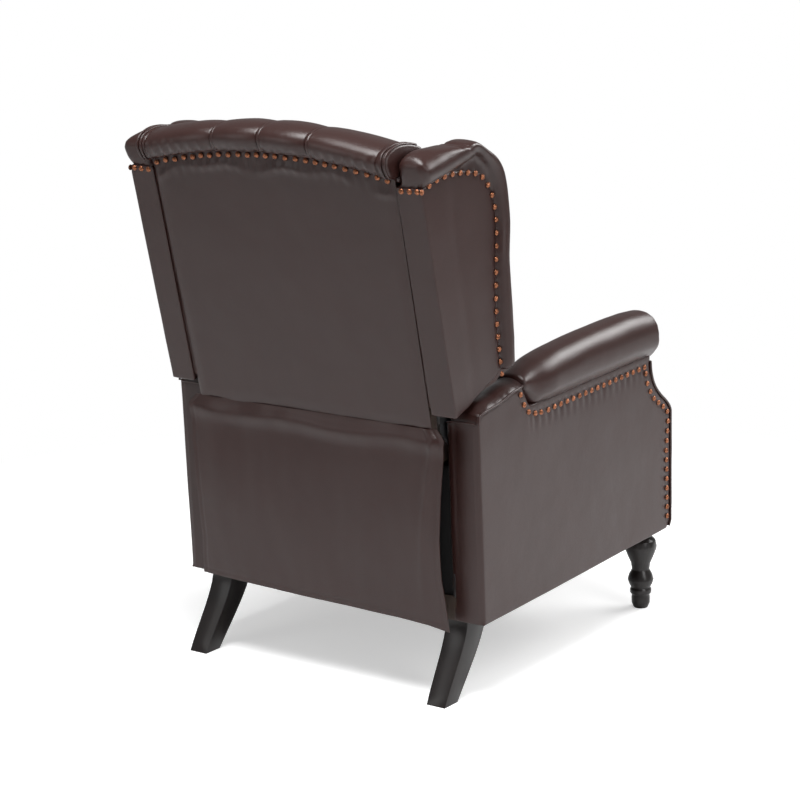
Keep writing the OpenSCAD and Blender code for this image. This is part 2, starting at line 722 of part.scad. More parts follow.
// Crowned cushion with drawn-in sides, as rings that rise from its lower face
function pillow_ring(half_x, low_y, high_y, z, share, corner, pull) = let (
        mid_y = (low_y + high_y) / 2, half_y = (high_y - low_y) / 2, count = 40
    ) [for (j = [0 : count - 1]) let (
        a = 360 * (j + 0.5) / count,
        sx = soft_cos(a, corner), sy = soft_sin(a, corner),
        draw = pull * (pow(abs(sx), 6) * (1 - sy * sy) + pow(abs(sy), 6) * (1 - sx * sx))
    ) [(half_x * share - draw * sign(sx) * pow(abs(sx), 6)) * sx * sign(sx) * sign(sx),
       mid_y + (half_y * share) * sy, z]];
function pillow(half_x, low_y, high_y, low_z, thick, crown, pull) = [
    pillow_ring(half_x, low_y, high_y, low_z, 0.5, 0.35, 0),
    pillow_ring(half_x, low_y, high_y, low_z, 0.95, 0.3, pull),
    pillow_ring(half_x, low_y, high_y, low_z + thick * 0.12, 0.985, 0.26, pull),
    pillow_ring(half_x, low_y, high_y, low_z + thick * 0.32, 1, 0.24, pull),
    pillow_ring(half_x, low_y, high_y, low_z + thick * 0.62, 1, 0.24, pull),
    pillow_ring(half_x, low_y, high_y, low_z + thick * 0.86, 0.985, 0.26, pull),
    pillow_ring(half_x, low_y, high_y, low_z + thick, 0.94, 0.3, pull * 0.6),
    pillow_ring(half_x, low_y, high_y, low_z + thick + crown * 0.45, 0.8, 0.34, 0),
    pillow_ring(half_x, low_y, high_y, low_z + thick + crown * 0.8, 0.55, 0.4, 0),
    pillow_ring(half_x, low_y, high_y, low_z + thick + crown, 0.25, 0.5, 0)
];

module seat_cushion() {
    color(leather) in_body()
        skin(pillow(inner_half - seat_gap, -seat_front, -seat_rear, seat_low, seat_t, seat_crown, seat_gap));
}

tube_r = 9;
tube_y = roller_rear[0] + (roller_front[0] - roller_rear[0]) * 0.5;
module seat_torsion_tube() {
    color(steel) in_body()
        cross_bar(-seat_in, seat_in, -tube_y, roller_front[1], tube_r);
}

// Footrest links. The rear and upper links lie in the inner plane, the crossing and lower links in the outer one
module footrest_rear_links() {
    color(steel) in_body() {
        both_sides() {
            difference() {
                link(link_base, pin_top, rear_in, rear_out);
                hole_at(link_base, rear_in, rear_out);
                hole_at(pin_mid, rear_in, rear_out);
            }
            pin_at(pin_top, rear_out - rivet_root, cross_out, rivet_r);
        }
        cross_bar(-rear_in, rear_in, -mix(link_base, pin_mid, 0.55)[0], mix(link_base, pin_mid, 0.55)[1],
            tube_r * 0.6);
    }
}

module footrest_cross_links() {
    color(steel) in_body() both_sides() {
        link(pin_stud, pin_low, cross_in, cross_out);
        rivet(pin_mid);
        rivet(pin_low);
        pin_at(pin_stud, cross_out - rivet_root, base_out - soft_gap, stud_r);
    }
}

module footrest_lower_links() {
    color(steel) in_body() both_sides() {
        difference() {
            link(pin_top, pin_end, cross_in, cross_out);
            hole_at(pin_top, cross_in, cross_out);
        }
        rivet(pin_end);
        rivet(pin_cross);
    }
}

module footrest_upper_links() {
    color(steel) in_body() both_sides() difference() {
        link(pin_low, pin_rest, rear_in, rear_out);
        hole_at(pin_low, rear_in, rear_out);
        hole_at(pin_cross, rear_in, rear_out);
        hole_at(pin_rest, rear_in, rear_out);
    }
}

module footrest_control_links() {
    color(steel) in_body() both_sides() difference() {
        link(pin_end, pin_control, rear_in, rear_out);
        hole_at(pin_end, rear_in, rear_out);
        hole_at(pin_control, rear_in, rear_out);
    }
}

rest_back = pin_control[0] + link_w / 2 + plate_t;
rest_low = pin_rest[1] + link_w * 0.72 - rest_h;
flange_w = 8;
module footrest_brackets() {
    color(steel) in_body() both_sides() {
        side_plate(cross_in, cross_out, [
            [-pin_rest[0] + link_w / 2, pin_rest[1]], [-pin_rest[0], pin_rest[1] + link_w / 2],
            [-rest_back, pin_rest[1] + link_w / 2], [-rest_back, pin_control[1] - link_w / 2],
            [-pin_control[0], pin_control[1] - link_w / 2], [-pin_control[0] + link_w / 2, pin_control[1]]]);
        block([cross_out - rivet_root, -rest_back, pin_control[1] - link_w / 2],
            [cross_out + flange_w, -rest_back + plate_t, pin_rest[1] + link_w / 2]);
        rivet(pin_rest);
        rivet(pin_control);
    }
}

rest_half = inner_half - rest_gap;
module footrest_board() {
    color(timber) in_body()
        block([-rest_half, -rest_back - rest_board_t, rest_low], [rest_half, -rest_back, rest_low + rest_h]);
}

// Padding on the footrest board, crowned towards the front
module footrest_pad() {
    face_y = -rest_back - rest_board_t;
    color(leather) in_body()
        translate([0, face_y, rest_low + rest_h / 2])
            rotate([90, 0, 0])
                skin(pillow(rest_half, -rest_h / 2, rest_h / 2, 0, rest_pad_t * 0.72, rest_pad_t * 0.28,
                    rest_gap));
}

// Extension springs between the rear rail and the seat's torsion tube
coil_r = 8;
spring_x = inner_half * 0.6;
module return_springs() {
    foot = [rear_rail_t, rear_rail_h - coil_r];
    reach = [tube_y, roller_front[1]] - foot;
    slope = atan2(reach[1], reach[0]);
    gap = coil_r * sin(slope) + soft_gap;
    color(steel) in_body() both_sides()
        translate([spring_x, -foot[0], foot[1]])
            rotate([90 - slope, 0, 0])
                translate([0, 0, gap])
                    cylinder(r = coil_r, h = norm(reach) - tube_r - soft_gap - gap, $fn = round_fn);
}

// Two posts joined by three rails
module back_posts() {
    color(timber) in_back() both_sides()
        block([back_post_in, -back_frame_d, back_low], [back_post_out, -cover_t, back_frame_top]);
}

module back_rails() {
    color(timber) in_back() {
        block([-back_post_in, -back_frame_d, back_low], [back_post_in, -cover_t, back_low + timber_t]);
        block([-back_post_in, -back_frame_d, back_frame_top - timber_t],
            [back_post_in, -cover_t, back_frame_top]);
        block([-back_post_in, -back_frame_d + rail_h, back_nail_h / 2 - timber_t],
            [back_post_in, -cover_t, back_nail_h / 2]);
    }
}

web_t = 2;
web_w = 50;
module back_webbing() {
    color(webbing) in_back() for (k = [0 : channels])
        translate([(k / channels - 0.5) * (2 * back_post_in - web_w) - web_w / 2, -back_frame_d - web_t,
            back_low])
            cube([web_w, web_t, back_frame_top - back_low]);
}

// Steel brackets on the back's posts: a bore on the pivot bolt and a slotted lever that drives the seat
module back_brackets() {
    far = lever_r / cos(recline);
    slot_top = [pivot_y, pivot_z - lever_r + stud_r * 0.4];
    slot_end = [pivot_y, pivot_z - far - stud_r * 0.4];
    half = bracket_r;
    tail = pivot_y * 0.25;
    color(steel) in_body() both_sides() difference() {
        union() {
            side_plate(back_bracket_in, back_bracket_out, [
                [-pivot_y - half, slot_end[1]], [-pivot_y - half, pivot_z], [-pivot_y, pivot_z + half],
                [tail, pivot_z + half], [tail, pivot_z - 2 * half],
                    [-pivot_y + half, pivot_z - lever_r * 0.6],
                [-pivot_y + half, slot_end[1]]]);
            pin_at(slot_end, back_bracket_in, back_bracket_out, half);
        }
        pin_at([pivot_y, pivot_z], back_bracket_in - over, back_bracket_out + over, stud_r + run_gap);
        slot_cut(slot_top, slot_end, back_bracket_in, back_bracket_out, stud_r + stud_play);
    }
}

// Height of the nailed line at a share of the back's half width
function nail_line(u) = back_nail_h - back_nail_arch * u * u;

// Leather panel of the outside back
panel_foot_share = 0.98;
module outside_back() {
    foot = back_half_w * panel_foot_share;
    color(leather) in_back()
        rotate([90, 0, 0])
            linear_extrude(cover_t)
                polygon(concat([[-foot, 0], [foot, 0]],
                    [for (i = [s_steps : -1 : -s_steps]) [back_half_w * i / s_steps,
                        nail_line(i / s_steps)]]));
}

// Channelled back cushion that rolls over the top rail to the nailed line. Rings run along the width
cushion_steps = 20;
cushion_rear_steps = 6;
web_face = back_frame_d + web_t + soft_gap;
cushion_half = pad_in - soft_gap;
function channel_puff(u) = let (f = u * channels - floor(u * channels)) pow(abs(sin(180 * f)), 0.6);
cushion_end_share = 0.96;
// The cushion's front outline: its depth in shares of the full depth, with the height above its foot,
// the height of its face and the drop below its crest, in shares of the depth, the crest's height and the depth
cushion_foot_shares = [[0.72, 0.02], [0.93, 0.13], [1, 0.4]];
cushion_face_shares = [[1.02, 0.14], [0.98, 0.34], [0.95, 0.55], [0.95, 0.74]];
cushion_crown_shares = [
    [0.92, 0.62], [0.84, 0.5], [0.76, 0.37], [0.64, 0.25], [0.52, 0.155], [0.4, 0.085], [0.26, 0.03], [0.1, 0]];
function cushion_ring(i) = let (
        u = i / cushion_steps,
        x = mix(-1, 1, u),
        puff = i == 0 || i == cushion_steps ? cushion_end_share : mix(0.9, 1, channel_puff(u)),
        crest = crest_h - crest_arch * x * x,
        nail_z = nail_line(x * cushion_half / back_half_w),
        d = back_depth * puff,
        bulge = roll_back * puff,
        wide = x * cushion_half,
        crest_z = nail_z + (crest - nail_z) * puff,
        shelf = back_frame_top + soft_gap
    ) [
        [wide, -web_face, back_low],
        for (p = cushion_foot_shares) [wide, -d * p[0], back_low + back_depth * p[1]],
        for (p = cushion_face_shares) [wide, -d * p[0], crest_h * p[1]],
        for (p = cushion_crown_shares) [wide, -d * p[0], crest_z - back_depth * p[1]],
        [wide, bulge * 0.5, crest_z - back_depth * 0.045],
        [wide, bulge, mix(nail_z, crest_z, roll_back_share)],
        [wide, bulge * 0.8, mix(nail_z, crest_z, 0.25)],
        [wide, soft_gap, nail_z + soft_gap],
        [wide, -cover_t - soft_gap, nail_z + soft_gap],
        [wide, -cover_t - soft_gap, shelf],
        [wide, -web_face, shelf],
        for (k = [cushion_rear_steps - 1 : -1 : 1]) [wide, -web_face,
            mix(back_low, shelf, k / cushion_rear_steps)]
    ];
// Rounded end of the cushion's roll, beside a wing's top
roll_end_r = back_depth * 0.115;
roll_end_z = nail_line(cushion_half / back_half_w) + roll_end_r * 1.3;
module back_roll_end() {
    hull() for (f = [0, 1])
        cross_bar(cushion_half - over, roll_half_w, -f * roll_end_r * 2.5,
            roll_end_z - f * roll_end_r * 0.45, roll_end_r);
}

module back_cushion() {
    color(leather) in_back() {
        skin([for (i = [cushion_steps : -1 : 0]) cushion_ring(i)]);
        both_sides() back_roll_end();
    }
}

// Wing outline: the front edge's depth at a height, and the rear edge's depth near the top
wing_front_shares = [
    [0, 0.79], [0.42, 0.9], [0.59, 0.98], [0.744, 1], [0.83, 0.945], [0.895, 0.82],
    [0.93, 0.72], [0.948, 0.6], [0.97, 0.42], [0.991, 0.24], [1, 0.165]];
wing_span = wing_top_h - wing_foot_h;
wing_front_table = [for (p = wing_front_shares) [wing_foot_h + p[0] * wing_span, p[1] * wing_depth]];
function wing_front(z) = lookup(z, wing_front_table);
wing_rear_shares = [[0.97, 0], [0.991, 0.04], [1, 0.09]];
function wing_rear(z) = lookup(z,
    [for (p = wing_rear_shares) [wing_foot_h + p[0] * wing_span, p[1] * wing_depth]]);
wing_in = back_half_w;
board_t = 12;
pad_top_in = roll_half_w + soft_gap;

// Plywood board inside a wing
board_depth_share = 0.62;
board_steps = 5;
wing_seam_z = wing_nail_h + soft_gap;
function board_outline(gap) = concat(
    [[-cover_t + timber_t * gap, wing_foot_h - timber_t * gap],
        [-cover_t + timber_t * gap, wing_nail_h + gap * 2 * soft_gap]],
    [for (i = [board_steps : -1 : 0]) let (z = mix(wing_foot_h, wing_nail_h, i / board_steps))
        [-wing_front(z) * board_depth_share - gap * soft_gap,
         i == 0 ? z - timber_t * gap : i == board_steps ? z + gap * 2 * soft_gap : z]]);
module wing_board(left) {
    color(timber) in_back() on_side(left)
        side_plate(back_post_out, back_post_out + board_t, board_outline(0));
}

// Outside panel of a wing, with its rear strip
panel_t = 4;
panel_gap = 3.2;
panel_drop = 7;
panel_rise_share = 0.32;
function wing_line(z) = wing_front(z) - wing_band - panel_gap;
module wing_panel(left) {
    low = wing_foot_h + nail_d / 2;
    foot = wing_foot_h - panel_drop;
    heights = [for (i = [0 : s_steps]) mix(low, wing_nail_h, i / s_steps)];
    color(leather) in_back() on_side(left) {
        side_plate(wing_half_w - panel_t, wing_half_w, concat(
            [[0, foot], [0, wing_nail_h]],
            [for (i = [s_steps : -1 : 0]) [-wing_line(heights[i]), heights[i]]],
            [[-wing_depth * panel_rise_share, wing_foot_h]]));
        block([wing_in, -panel_t, foot], [wing_half_w - panel_t, 0, wing_nail_h]);
    }
}

// Padding of a wing: wraps its inner side, its front and its top, and ends at the nailed line
wing_band = wing_depth * 0.17;
wing_band_most = 0.6;
wing_low_levels = 8;
wing_flat_steps = 4;
wing_belly = 0.45;
wing_lid_min = 0.3;
wing_top_shares = [0.12, 0.27, 0.45, 0.62, 0.78, 0.91, 1];
wing_nose_shares = [0, 0.08, 0.22, 0.42, 0.65, 0.87, 1];
wing_levels = concat(
    [for (i = [0 : wing_low_levels])
        i == 0 ? wing_foot_h - over : mix(wing_foot_h, wing_seam_z, i / wing_low_levels)],
    [for (s = wing_top_shares) mix(wing_seam_z, wing_top_h, s)]);
function round_up(t) = sqrt(max(0, 1 - pow(1 - t, 2)));
function wing_pad_ring(z) = let (
        rise = max(0, (z - wing_seam_z) / (wing_top_h - wing_seam_z)),
        swell = round_up(min(1, rise / wing_belly)),
        lid = rise < wing_belly ? 1 : max(wing_lid_min, round_up((1 - rise) / (1 - wing_belly))),
        front = wing_front(z),
        rear = max(-wing_roll * swell * lid, wing_rear(z)) + (panel_t + soft_gap) * (1 - swell),
        band = min(wing_band, (front - rear) * wing_band_most),
        seam = front - band,
        mid_x = (wing_in + wing_half_w) / 2,
        flat_x = wing_half_w - panel_t - soft_gap,
        full_x = wing_half_w + wing_roll,
        in_x = z < wing_seam_z ? pad_in : pad_top_in,
        flat = [for (k = [0 : wing_flat_steps]) [k == 0 && rise > 0 ? 0.7 : 1,
            mix(rear, seam, k / wing_flat_steps)]],
        nose = [for (k = [len(wing_nose_shares) - 2 : -1 : 0]) wing_nose_shares[k]]
    ) concat(
        [for (p = flat) [mix(mid_x, mix(flat_x, full_x, swell), lid * p[0]), -p[1], z]],
        [for (n = nose) [mix(mid_x, mix(flat_x, full_x, max(swell, round_up(min(1, (1 - n) * 2)))),
            lid * max(wing_lid_min, round_up(min(1, n * 2)))),
            -front + band * n, z]],
        [for (n = [for (k = [1 : len(wing_nose_shares) - 1]) wing_nose_shares[k]])
            [mix(mid_x, in_x, lid * round_up(n)), -front + band * n, z]],
        [for (k = [wing_flat_steps - 1 : -1 : 0]) [mix(mid_x, in_x, lid * flat[k][0]), -flat[k][1], z]]
    );
module wing_pad(left) {
    color(leather) in_back() on_side(left) difference() {
        skin([for (i = [len(wing_levels) - 1 : -1 : 0]) wing_pad_ring(wing_levels[i])]);
        side_plate(pad_in - timber_t, back_post_out + board_t + soft_gap, board_outline(1));
        block([pad_in - timber_t, -wing_depth - timber_t, wing_foot_h - timber_t],
            [wing_half_w + timber_t, timber_t, wing_foot_h]);
    }
}

back_nail_count = 25;
back_nail_span_share = 0.95;
back_nail_drop_share = 0.75;
module back_nails() {
    span = back_half_w * back_nail_span_share;
    color(copper) in_back() for (k = [0 : back_nail_count - 1])
        let (x = (2 * k / (back_nail_count - 1) - 1) * span)
        rear_nail(x, nail_line(x / back_half_w) - nail_d * back_nail_drop_share);
}

// Nails of a wing: three on the rear strip, then along the top and down the front
module wing_nails(left) {
    heights = [for (i = [s_steps : -1 : 0])
        mix(wing_foot_h + nail_d * 1.5, wing_nail_h - nail_d * 0.6, i / s_steps)];
    line = concat([[-nail_d * 0.6, wing_nail_h - nail_d * 0.6]],
        [for (z = heights) [-wing_line(z) + nail_d * 0.6, z]]);
    color(copper) in_back() on_side(left) {
        for (p = spaced(line, 25)) side_nail(wing_half_w, p[0], p[1]);
        for (k = [0 : 2]) rear_nail(mix(wing_in + nail_d, wing_half_w - nail_d * 0.6, k / 2),
            wing_nail_h - nail_d * 0.6);
    }
}

// Leather apron that hangs under the outside back and covers the mechanism
flap_t = 4;
flap_cols = 18;
flap_rows = 12;
flap_half_shares = [[0, 1.06], [0.14, 1.045], [0.24, 1.03], [0.45, 1.035], [0.65, 1.052], [0.94, 1.082],
    [1, 1.01]];
flap_low = 3;
flap_top = back_foot_z - soft_gap;
// How far the apron's foot hangs behind its top, its belly, its corners' tuck and droop, and its waves
flap_swing = 6;
flap_belly = 10;
flap_tuck = 8;
flap_droop = 12;
flap_wave = 2.5;
function flap_point(u, v, front) = let (
        x = mix(-1, 1, u),
        hang = (1 - v) * flap_swing + flap_belly * sin(180 * v) - flap_tuck * pow(x, 4) * (1 - v),
        wave = flap_wave * cos(900 * x) * v * (1 - v) * x * x
    ) [x * back_half_w * lookup(v, flap_half_shares),
       back_foot_y + hang + wave - (front ? flap_t : 0),
       mix(flap_low, flap_top, v) - flap_droop * (1 - v) * pow(x, 6)];
module rear_flap() {
    color(leather) in_body()
        skin([for (k = [0 : flap_rows]) let (v = k / flap_rows) concat(
            [for (j = [0 : flap_cols]) flap_point(j / flap_cols, v, true)],
            [for (j = [flap_cols : -1 : 0]) flap_point(j / flap_cols, v, false)])]);
}

arm_posts(true);  // left_arm_posts
arm_posts(false);  // right_arm_posts
arm_rails(true);  // left_arm_rails
arm_rails(false);  // right_arm_rails
arm_cover(true);  // left_arm_cover
arm_cover(false);  // right_arm_cover
arm_front(true);  // left_arm_front
arm_front(false);  // right_arm_front
arm_roll(true);  // left_arm_roll
arm_roll(false);  // right_arm_roll
arm_nails(true);  // left_arm_nails
arm_nails(false);  // right_arm_nails
front_rail();
rear_rail();
front_leg(true);  // left_front_leg
front_leg(false);  // right_front_leg
rear_leg(true);  // left_rear_leg
rear_leg(false);  // right_rear_leg
leg_bolts();
base_plate(true);  // left_base_plate
base_plate(false);  // right_base_plate
base_plate_screws();
back_pivot_bolts();
rear_flap();
seat_plate(true);  // left_seat_plate
seat_plate(false);  // right_seat_plate
seat_rollers();
seat_side_rails();
seat_cross_rails();
seat_springs();
seat_cushion();
seat_torsion_tube();
footrest_rear_links();
footrest_cross_links();
footrest_lower_links();
footrest_upper_links();
footrest_control_links();
footrest_brackets();
footrest_board();
footrest_pad();
return_springs();
back_posts();
back_rails();
back_webbing();
back_brackets();
outside_back();
back_cushion();
wing_board(true);  // left_wing_board
wing_board(false);  // right_wing_board
wing_panel(true);  // left_wing_panel
wing_panel(false);  // right_wing_panel
wing_pad(true);  // left_wing_pad
wing_pad(false);  // right_wing_pad
back_nails();
wing_nails(true);  // left_wing_nails
wing_nails(false);  // right_wing_nails
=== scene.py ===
import json
import math

import bmesh
import bpy
from mathutils import Matrix, Vector, noise
from mathutils.bvhtree import BVHTree


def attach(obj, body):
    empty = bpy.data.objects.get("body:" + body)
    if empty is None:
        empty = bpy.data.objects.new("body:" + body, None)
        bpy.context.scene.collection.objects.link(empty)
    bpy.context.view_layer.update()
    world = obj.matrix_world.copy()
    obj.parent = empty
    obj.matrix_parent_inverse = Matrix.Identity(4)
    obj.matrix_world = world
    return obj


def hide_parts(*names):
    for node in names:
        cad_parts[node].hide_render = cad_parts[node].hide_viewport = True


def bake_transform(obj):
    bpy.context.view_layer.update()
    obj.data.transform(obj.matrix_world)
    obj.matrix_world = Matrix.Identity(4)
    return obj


bl_info = {
    "name": "Wingback Recliner",
    "version": (1, 0, 0),
    "blender": (4, 5, 0),
    "location": "3D View > Sidebar > Recliner",
    "description": "Upholsters the packed frame of a push-back wingback recliner",
    "category": "Add Mesh",
}

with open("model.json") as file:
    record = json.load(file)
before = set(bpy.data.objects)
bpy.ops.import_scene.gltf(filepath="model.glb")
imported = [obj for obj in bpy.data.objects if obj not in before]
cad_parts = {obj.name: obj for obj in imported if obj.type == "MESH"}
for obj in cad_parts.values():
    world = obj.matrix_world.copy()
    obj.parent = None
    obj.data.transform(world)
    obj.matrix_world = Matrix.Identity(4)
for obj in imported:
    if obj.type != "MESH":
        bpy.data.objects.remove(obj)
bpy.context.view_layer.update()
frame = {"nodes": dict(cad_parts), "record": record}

MM = 0.001
# The body frame is tilted by the taller front legs, and the back's frame leans on it
BODY_Y = 241.94
BODY_Z = 143.1
BODY_TILT = 1.7
BACK_FOOT = (32.2, 360.5)
BACK_LEAN = 10.6
BODY = Matrix.Translation((0, BODY_Y * MM, BODY_Z * MM)) @ Matrix.Rotation(-math.radians(BODY_TILT), 4, "X")
BACK = (BODY @ Matrix.Translation((0, BACK_FOOT[0] * MM, BACK_FOOT[1] * MM))
        @ Matrix.Rotation(-math.radians(BACK_LEAN), 4, "X"))

# Arms, in the body frame, in millimetres
ARM_IN = 281
ARM_OUT = 340
REAR_FACE_IN = 272.5
ARM_LEN = 664
NECK_LEN = 590
SHOULDER_H = 236
ROLL_LINE_H = 351
ROLL_START = 150

# Back, in the back's frame, in millimetres
BACK_HALF_W = 268
NAIL_H = 494
NAIL_ARCH = 31
CREST_H = 545
CREST_ARCH = 30
CREASE_OUT = 26

# Wings, in the back's frame: the outer face, the roll beyond it and the nailed line as [depth, height]
WING_OUT = 322
WING_ROLL = 15
WING_NAILS = [(0, 444), (-45, 449), (-93, 443), (-136, 430), (-173, 411), (-194, 377), (-200, 339),
              (-195, 299), (-178, 236), (-165, 185), (-156, 131), (-150, 48)]

SIDES = (("left", 1), ("right", -1))


# Settings


def linear(code):
    """Colour of an sRGB hex code, in linear light."""
    parts = [int(code[i:i + 2], 16) / 255 for i in (1, 3, 5)]
    return tuple(c / 12.92 if c <= 0.04045 else ((c + 0.055) / 1.055) ** 2.4 for c in parts)


def colour_property(name, description, code):
    return bpy.props.FloatVectorProperty(
        name=name, description=description, subtype="COLOR", size=3, min=0, max=1, default=linear(code))


def length_property(name, description, value):
    return bpy.props.FloatProperty(
        name=name, description=description, subtype="DISTANCE", unit="LENGTH", min=0, default=value)


class ChairSizes(bpy.types.PropertyGroup):
    welt_radius: length_property("Welt radius", "Radius of the sewn welts", 0.0024)
    nail_width: length_property("Nail width", "Diameter of a nail's head", 0.0108)
    nail_height: length_property("Nail height", "Height of a nail's head", 0.0034)
    grain: length_property("Leather grain", "Width of a pebble of the leather's grain", 0.0014)


class ChairColours(bpy.types.PropertyGroup):
    leather: colour_property("Leather", "Bonded leather of the whole chair", "#311c19")
    nails: colour_property("Nails", "Copper plating of the nails", "#a0674a")
    legs: colour_property("Legs", "Espresso stain of the legs", "#1d1817")
    # The inner timber's dark colour is painted shade, darkened to stand for the shadow inside the frame
    timber: colour_property("Timber", "Timber of the inner frame, darkened as painted shade", "#40322a")
    steel: colour_property("Steel", "Zinc plated steel of the mechanism", "#9a9da0")
    webbing: colour_property("Webbing", "Black elastic webbing of the back", "#2b2b2e")
    rollers: colour_property("Rollers", "Black nylon rollers of the mechanism", "#1c1c1d")
    # Black of the sheet behind the frame is painted shade for the chair's dark inside
    shade_cloth: colour_property("Shade cloth", "Black cloth that stands for the shade inside the frame", "#161415")
    floor: colour_property("Floor", "Studio floor and backdrop", "#f4f4f4")


# Meshes

# Steps on a smooth curve between two of its points
FINE_STEPS = 16


def deselect_all():
    if bpy.context.object and bpy.context.object.mode != "OBJECT":
        bpy.ops.object.mode_set(mode="OBJECT")
    bpy.ops.object.select_all(action="DESELECT")


def activate(obj):
    deselect_all()
    obj.select_set(True)
    bpy.context.view_layer.objects.active = obj
    return obj


def add_object(name, data):
    obj = bpy.data.objects.new(name, data)
    bpy.context.scene.collection.objects.link(obj)
    return activate(obj)


def mesh_object(name, points, faces):
    """An object at the origin whose mesh is given in millimetres; it is placed when it is finished."""
    mesh = bpy.data.meshes.new(name)
    mesh.from_pydata([Vector(p) * MM for p in points], [], faces)
    mesh.validate()
    return outward(add_object(name, mesh))


def outward(obj):
    """Faces point outwards."""
    bm = bmesh.new()
    bm.from_mesh(obj.data)
    bmesh.ops.recalc_face_normals(bm, faces=bm.faces)
    bm.to_mesh(obj.data)
    bm.free()
    return obj


def grid_faces(rows, cols, closed=False):
    """Quads between rows of points; a closed row's last point joins its first."""
    n = cols if closed else cols + 1
    return [(i * n + j, i * n + (j + 1) % n, (i + 1) * n + (j + 1) % n, (i + 1) * n + j)
            for i in range(rows) for j in range(cols)]


def loft(name, rings):
    """A skin over rings of points, with both ends closed."""
    n = len(rings[0])
    points = [p for ring in rings for p in ring]
    last = (len(rings) - 1) * n
    ends = [tuple(range(n)), tuple(last + j for j in reversed(range(n)))]
    return mesh_object(name, points, grid_faces(len(rings) - 1, n, True) + ends)


def plate(name, outline, from_x, to_x):
    """A plate in the plane of the chair's side, from an outline of [depth, height]."""
    rings = [[(x, p[0], p[1]) for p in outline] for x in (from_x, to_x)]
    return loft(name, rings)


def apply_modifier(obj, kind, **settings):
    activate(obj)
    modifier = obj.modifiers.new(kind.title(), kind)
    for key, value in settings.items():
        setattr(modifier, key, value)
    bpy.ops.object.modifier_apply(modifier=modifier.name)
    return obj


def join(name, parts):
    deselect_all()
    for part in parts:
        part.select_set(True)
    bpy.context.view_layer.objects.active = parts[0]
    bpy.ops.object.join()
    obj = bpy.context.object
    obj.name = obj.data.name = name
    return obj


def soften(obj, voxel, rounds):
    """One continuous skin over joined closed parts, with its edges rounded."""
    apply_modifier(obj, "REMESH", mode="VOXEL", voxel_size=voxel)
    apply_modifier(obj, "SMOOTH", iterations=rounds, factor=0.5)
    return obj


def shade(obj, angle=None):
    activate(obj)
    if angle is None:
        bpy.ops.object.shade_smooth()
    else:
        bpy.ops.object.shade_smooth_by_angle(angle=math.radians(angle))
    return obj


def move_points(obj, rule):
    """Moves each vertex by a rule on its place, in millimetres."""
    for v in obj.data.vertices:
        v.co = Vector(rule(v.co / MM)) * MM
    obj.data.update()
    return obj


def finish_piece(obj, matrix, body, slot, node=None, smooth=None, material=None):
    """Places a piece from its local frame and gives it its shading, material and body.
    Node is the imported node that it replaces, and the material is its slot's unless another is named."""
    if matrix:
        obj.data.transform(matrix)
    shade(obj, smooth)
    obj.data.materials.clear()
    obj.data.materials.append(materials()[material or slot])
    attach(obj, body)
    if node:
        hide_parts(node)
    return obj


def leather_piece(obj, matrix, body, node, smooth=None):
    return finish_piece(obj, matrix, body, "leather", node, smooth)


def mix(a, b, t):
    return a + (b - a) * t


def lookup(x, table):
    """Value at x in a table of (x, value) with rising x."""
    if x <= table[0][0]:
        return table[0][1]
    for (x0, v0), (x1, v1) in zip(table, table[1:]):
        if x <= x1:
            return mix(v0, v1, (x - x0) / (x1 - x0))
    return table[-1][1]


def smooth_path(points, count, closed=False):
    """Evenly spaced points on a smooth curve through the given ones."""
    pts = [Vector(p) for p in points]
    n = len(pts)
    dense = []
    for i in range(n if closed else n - 1):
        if closed:
            p0, p1, p2, p3 = (pts[(i + k - 1) % n] for k in range(4))
        else:
            p0, p1, p2, p3 = (pts[min(max(i + k - 1, 0), n - 1)] for k in range(4))
        for k in range(FINE_STEPS):
            t = k / FINE_STEPS
            dense.append(0.5 * (2 * p1 + (p2 - p0) * t + (2 * p0 - 5 * p1 + 4 * p2 - p3) * t * t
                                + (3 * p1 - p0 - 3 * p2 + p3) * t ** 3))
    dense.append(pts[0] if closed else pts[-1])
    lengths = [0.0]
    for a, b in zip(dense, dense[1:]):
        lengths.append(lengths[-1] + (b - a).length)
    result, k = [], 0
    steps = count if closed else count - 1
    for i in range(count):
        target = lengths[-1] * i / steps
        while k < len(dense) - 2 and lengths[k + 1] < target:
            k += 1
        span = max(lengths[k + 1] - lengths[k], 1e-9)
        result.append(dense[k].lerp(dense[k + 1], (target - lengths[k]) / span))
    return result


def flat_path(points, count, closed=False):
    """The same for points of [depth, height]."""
    return [(p[0], p[1]) for p in smooth_path([(y, z, 0) for y, z in points], count, closed)]


def welt(path, share=1.0):
    """A round sewn welt along points in millimetres; share is that of a full welt's radius."""
    curve = bpy.data.curves.new("welt", "CURVE")
    curve.dimensions = "3D"
    spline = curve.splines.new("POLY")
    spline.points.add(len(path) - 1)
    for point, place in zip(spline.points, path):
        point.co = (*(Vector(place) * MM), 1)
    curve.bevel_depth = bpy.context.scene.chair_sizes.welt_radius * share
    curve.bevel_resolution = 2
    curve.use_fill_caps = True
    add_object("welt", curve)
    bpy.ops.object.convert(target="MESH")
    return outward(bpy.context.object)


# Materials

WHITE = (1, 1, 1, 1)
# Names by material slot; the shade cloth is the shade sheet's, in the slot of the leather, and its black is
# painted shade
MATERIAL_NAMES = {
    "leather": "Bonded leather", "copper_nails": "Copper plated steel",
    "stained_legs": "Espresso stained beech", "timber": "Poplar darkened for painted shade", "steel": "Zinc plated steel",
    "webbing": "Elastic webbing", "rollers": "Moulded nylon", "shade_cloth": "Black cloth for painted shade",
}
# Grain that runs up the legs and across the rails, and the spacing of the webbing's threads
UPRIGHT_GRAIN = (1, 1, 0.12)
LEVEL_GRAIN = (0.12, 1, 1)
THREAD = 0.0012


